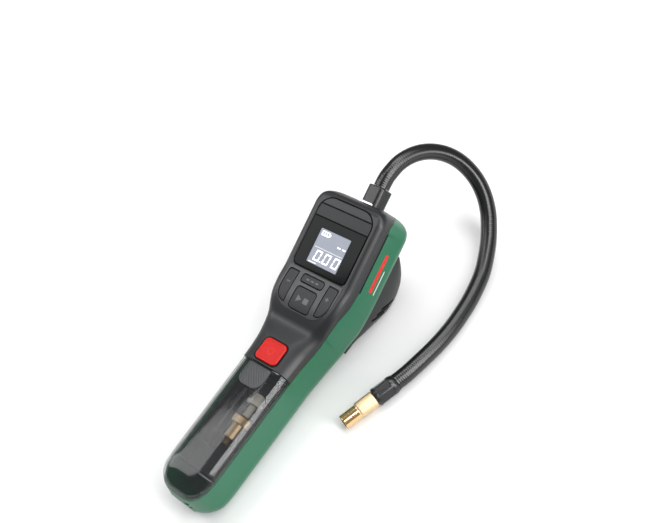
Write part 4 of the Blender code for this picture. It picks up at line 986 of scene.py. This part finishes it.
def make_adapters():
    """The spare adapters in the tray: a clear cone, a brass valve adapter and a ball needle."""
    top = CONE_TOP
    cone = [(1.3, top), (2.5, top), (2.9, top - 0.4), (4.2, top - 5.0), (5.0, top - 5.0), (5.2, top - 5.3),
            (5.2, top - 7.2), (5.0, top - 7.5)]
    cone += thread(2.6, 0.3, top - 7.5, top - 15.6) + [(1.3, top - 16.0)]
    piece("clear_cone", place(moved(turned(cone), ADAPTER_X, r=ADAPTER_R)), "white_plastic",
          stands_for=["cone_adapter"])
    top = CONE_TOP - 16.6
    valve = [(1.1, top), (4.3, top), (4.6, top - 0.3), (6.1, top - 0.8), (6.1, top - 5.0), (4.3, top - 5.2),
             (4.3, top - 14.6), (3.9, top - 15.0)]
    valve += thread(2.0, 0.25, top - 15.0, top - 18.6, 0.7) + [(1.1, top - 19.0)]
    knurled = turned(valve, sides=144, flutes=36, flute_depth=0.3, fluted=(3, 4))
    piece("valve_adapter", place(moved(knurled, ADAPTER_X, r=ADAPTER_R)), "brass_matt",
          stands_for=["presta_adapter"])
    top = CONE_TOP
    needle = [(0.5, top), (0.9, top - 0.3), (1.1, top - 1.5), (1.1, top - 29.6), (3.2, top - 30.4),
              (3.4, top - 31.0)]
    needle += thread(3.4, 0.3, top - 33.0, top - 40.6) + [(0.5, top - 41.0)]
    piece("ball_needle", place(moved(turned(needle), -9.0, r=TRAY_FLOOR + 3.7)), "dark_steel",
          stands_for=["needle_adapter"])


make_cover()
make_pad()
make_adapters()


# ---------------------------- gland and light

def make_gland():
    """The square gland with round edges, and the light at its foot."""
    start = HEAD_TOP - WALL - 1.3
    body = along_s([rounded(GLAND_WIDTH, GLAND_WIDTH, GLAND_CORNER, (0, OUTLET_DEPTH), 8)], start, GLAND_TOP)
    bore = moved(disc(3.3, 0, HEAD_TOP + 1.0, "s"), r=OUTLET_DEPTH)
    air = moved(disc(HOSE_BORE / 2, 0, GLAND_TOP + 5, "s"), r=OUTLET_DEPTH)
    mesh = softened(combine(body, [bore, air]), 0.8, 4, 50)
    piece("square_gland", place(mesh), "ferrule", stands_for=["hose_gland"])
    outline = rounded(LIGHT_WIDTH, LIGHT_HEIGHT, 1.2, (0, LIGHT_DEPTH))
    lens = along_s([outline], HEAD_TOP - WALL - 0.6, HEAD_TOP + LIGHT_PROUD)
    piece("light_window", place(softened(lens, 0.3, 3)), "glow", stands_for=["light_lens"])


make_gland()


# ---------------------------- hose

def smooth(points, spacing):
    """Points about spacing apart on a smooth curve through all the given points."""
    points = [Vector(point) for point in points]
    ends = [2 * points[0] - points[1]] + points + [2 * points[-1] - points[-2]]
    fine = []
    for a, b, c, d in zip(ends, ends[1:], ends[2:], ends[3:]):
        for step in range(24):
            t = step / 24
            fine.append(0.5 * ((2 * b) + (c - a) * t + (2 * a - 5 * b + 4 * c - d) * t ** 2
                               + (3 * b - a - 3 * c + d) * t ** 3))
    fine.append(points[-1])
    walked = [0.0]
    for a, b in zip(fine, fine[1:]):
        walked.append(walked[-1] + (b - a).length)
    count = max(2, round(walked[-1] / spacing))
    chosen, i = [fine[0]], 0
    for step in range(1, count):
        target = walked[-1] * step / count
        while walked[i + 1] < target:
            i += 1
        share = (target - walked[i]) / (walked[i + 1] - walked[i])
        chosen.append(fine[i].lerp(fine[i + 1], share))
    return chosen + [fine[-1]], walked[-1]


def sweep(points, radius_at, sides, start_way, end_way):
    """A closed tube along the points, with a radius for each step and side; its frame doesn't twist."""
    rings, across = [], Vector((1, 0, 0))
    for i, point in enumerate(points):
        way = (points[min(i + 1, len(points) - 1)] - points[max(i - 1, 0)]).normalized()
        way = start_way if i == 0 else end_way if i == len(points) - 1 else way
        across = (across - across.dot(way) * way).normalized()
        other = way.cross(across)
        ring = []
        for side in range(sides):
            angle = 2 * math.pi * side / sides
            ring.append(point + radius_at(i, side) * (math.cos(angle) * across + math.sin(angle) * other))
        rings.append(ring)
    return loft(rings)


HOSE_SIDES = 32
RIB_STEPS = 4
RIB_DEPTH = 0.08
WEAVE_DEPTH = 0.04


def make_hose():
    """The ribbed hose: rounded ribs all along, with a braid's slanting pattern laid over them."""
    points, length = smooth(HOSE_ROUTE, HOSE_RIB / RIB_STEPS)
    end_way = Vector((math.sin(CONNECTOR_HEADING), -math.cos(CONNECTOR_HEADING), 0))

    def radius_at(i, side):
        rib = 0.5 - 0.5 * math.cos(2 * math.pi * i / RIB_STEPS)
        weave = 0.5 + 0.5 * math.cos(2 * math.pi * (side / 4 + i / 8))
        edge = i < 2 or i > len(points) - 3
        return HOSE_DIAMETER / 2 - (0.0 if edge else RIB_DEPTH * rib + WEAVE_DEPTH * weave)

    mesh = sweep(points, radius_at, HOSE_SIDES, UP.copy(), end_way)
    hose = piece("ribbed_hose", mesh, "hose", stands_for=["air_hose"], sharp=80)
    return hose, [point * MM for point in points], length * MM


def connector_piece(name, mesh, look, body="tool", stands_for=(), sharp=38):
    """A piece drawn along the connector's own axis, whose mouth is at negative s."""
    mesh.transform(CONNECTOR)
    return piece(name, mesh, look, body, stands_for, sharp)


def make_connector():
    """The black ferrule with its flats, and the brass swivel nut with a knurled grip and a plain mouth."""
    hole = STEM_DIAMETER / 2 + GAP
    end = -GAP - FERRULE_LENGTH
    radius = FERRULE_DIAMETER / 2
    profile = [(hole, -GAP), (HOSE_DIAMETER / 2 + 0.1, -GAP), (radius - 0.35, -GAP - 1.2),
               (radius, -GAP - 2.4), (radius, end + 0.8), (radius - 0.25, end + 0.3), (radius - 0.7, end),
               (hole, end)]
    flats = turned(profile)
    for i in range(6):
        flat = block((-8, end + 2.4, radius - 0.55), (8, -GAP - 4.2, radius + 4))
        flat.transform(Matrix.Rotation(math.radians(60 * i + 12), 4, "Y"))
        flats = combine(flats, [flat])
    ferrule = connector_piece("crimp_ferrule", softened(flats, 0.18, 2, 30), "ferrule",
                              stands_for=["hose_ferrule"])
    start = end - GAP
    grip_end = start - NUT_GRIP
    mouth_end = grip_end - MOUTH_LENGTH
    seat = start - 2.0
    radius = NUT_DIAMETER / 2
    mouth = MOUTH_DIAMETER / 2
    grip = [(hole, start), (radius - 0.7, start), (radius - 0.2, start - 0.4), (radius, start - 0.9),
            (radius, grip_end + 0.9), (radius - 0.25, grip_end + 0.2), (radius - 0.5, grip_end),
            (mouth, grip_end - 0.02), (mouth, grip_end - 0.6), (VALVE_BORE / 2 + 0.02, grip_end - 0.6),
            (VALVE_BORE / 2 + 0.02, seat), (hole, seat)]
    sleeve = turned(grip, sides=240, flutes=60, flute_depth=0.14, fluted=(3, 4))
    nut = connector_piece("nut_sleeve", sleeve, "brass_matt", "nut", ["swivel_nut"], 50)
    bore = VALVE_BORE / 2
    profile = [(bore + 0.05, grip_end - 0.62), (mouth, grip_end - 0.62), (mouth, mouth_end + 0.35),
               (mouth - 0.12, mouth_end + 0.08), (mouth - 0.3, mouth_end), (bore + 0.12, mouth_end),
               (bore, mouth_end + 0.15)]
    mouth_piece = connector_piece("nut_mouth", turned(profile, sides=64), "brass", "nut")
    return [ferrule, nut, mouth_piece]


hose, hose_path, hose_length = make_hose()
connector_pieces = make_connector()


# ---------------------------- CAD nodes that show as they are

NODE_LOOKS = {
    "tray": ["adapter_tray"],
    "steel": ["unit_switch", "start_stop_switch", "minus_switch", "plus_switch", "power_switch", "motor_can",
              "gear_shaft", "cylinder", "drive_bracket", "charging_socket", "battery_contact_plus",
              "battery_contact_minus", "shell_screw_1", "shell_screw_2", "shell_screw_3", "shell_screw_4"],
    "brass": ["hose_stem", "motor_pinion", "cylinder_head"],
    "copper": ["motor_rotor"],
    "board": ["main_board", "power_board", "light_board"],
    "white_plastic": ["crank_gear", "piston", "motor_end_cap"],
    "rubber": ["pressure_sensor", "piston_seal", "nut_seal"],
    "magnet": ["motor_magnet"],
    "cell_wrap": ["battery_cell"],
    "dark_print": ["lcd_module"],
}
for look, names in NODE_LOOKS.items():
    for name in names:
        mesh = frame["nodes"][name].data
        mesh.materials.clear()
        mesh.materials.append(LOOKS[look])
        mesh.shade_smooth()
        mesh.set_sharp_from_angle(angle=math.radians(30))


# ---------------------------- floor, lights and camera

FLOOR_SIZE = 6.0
FLOOR_GAP = 0.0002
LIGHT_AIM = (0, 0, 0.03)
WORLD_STRENGTH = 0.28
SENSOR_WIDTH = 36.0
FOCAL_LENGTH = 60.27
CAMERA_PLACE = (0.37154, -0.16729, 0.56413)
CAMERA_TURN = (37.329, 16.835, 38.756)


def make_floor():
    bpy.ops.mesh.primitive_plane_add(size=FLOOR_SIZE, location=(0, 0, cad_box[0].z - FLOOR_GAP))
    floor = bpy.context.object
    floor.name = "floor"
    pale = surface("floor", (0.93, 0.93, 0.93), 0.7, shade=0.01, grain=300.0, depth=0.01)
    floor.data.materials.append(pale)


def make_light(name, place_at, size, power):
    """A soft rectangular light that looks at the middle of the tool."""
    data = bpy.data.lights.new(name, "AREA")
    data.shape = "RECTANGLE"
    data.size, data.size_y = size
    data.energy = power
    light = bpy.data.objects.new(name, data)
    bpy.context.scene.collection.objects.link(light)
    light.location = place_at
    light.rotation_euler = (Vector(LIGHT_AIM) - Vector(place_at)).to_track_quat("-Z", "Y").to_euler()


def make_camera():
    data = bpy.data.cameras.new("camera")
    data.sensor_width = SENSOR_WIDTH
    data.lens = FOCAL_LENGTH
    camera = bpy.data.objects.new("camera", data)
    bpy.context.scene.collection.objects.link(camera)
    camera.location = CAMERA_PLACE
    camera.rotation_euler = [math.radians(angle) for angle in CAMERA_TURN]
    bpy.context.scene.camera = camera


make_floor()
make_light("softbox_right", (0.9, 0.1, 0.75), (0.4, 1.2), 13.0)
make_light("softbox_left", (-0.8, -0.2, 0.9), (0.4, 1.4), 6.5)
make_light("softbox_top", (0.0, 0.5, 1.2), (1.2, 0.35), 8.0)
make_camera()
world = bpy.data.worlds.new("studio")
world.use_nodes = True
background = world.node_tree.nodes["Background"]
background.inputs["Color"].default_value = (1, 1, 1, 1)
background.inputs["Strength"].default_value = WORLD_STRENGTH
bpy.context.scene.world = world
bpy.context.scene.view_settings.view_transform = "Standard"
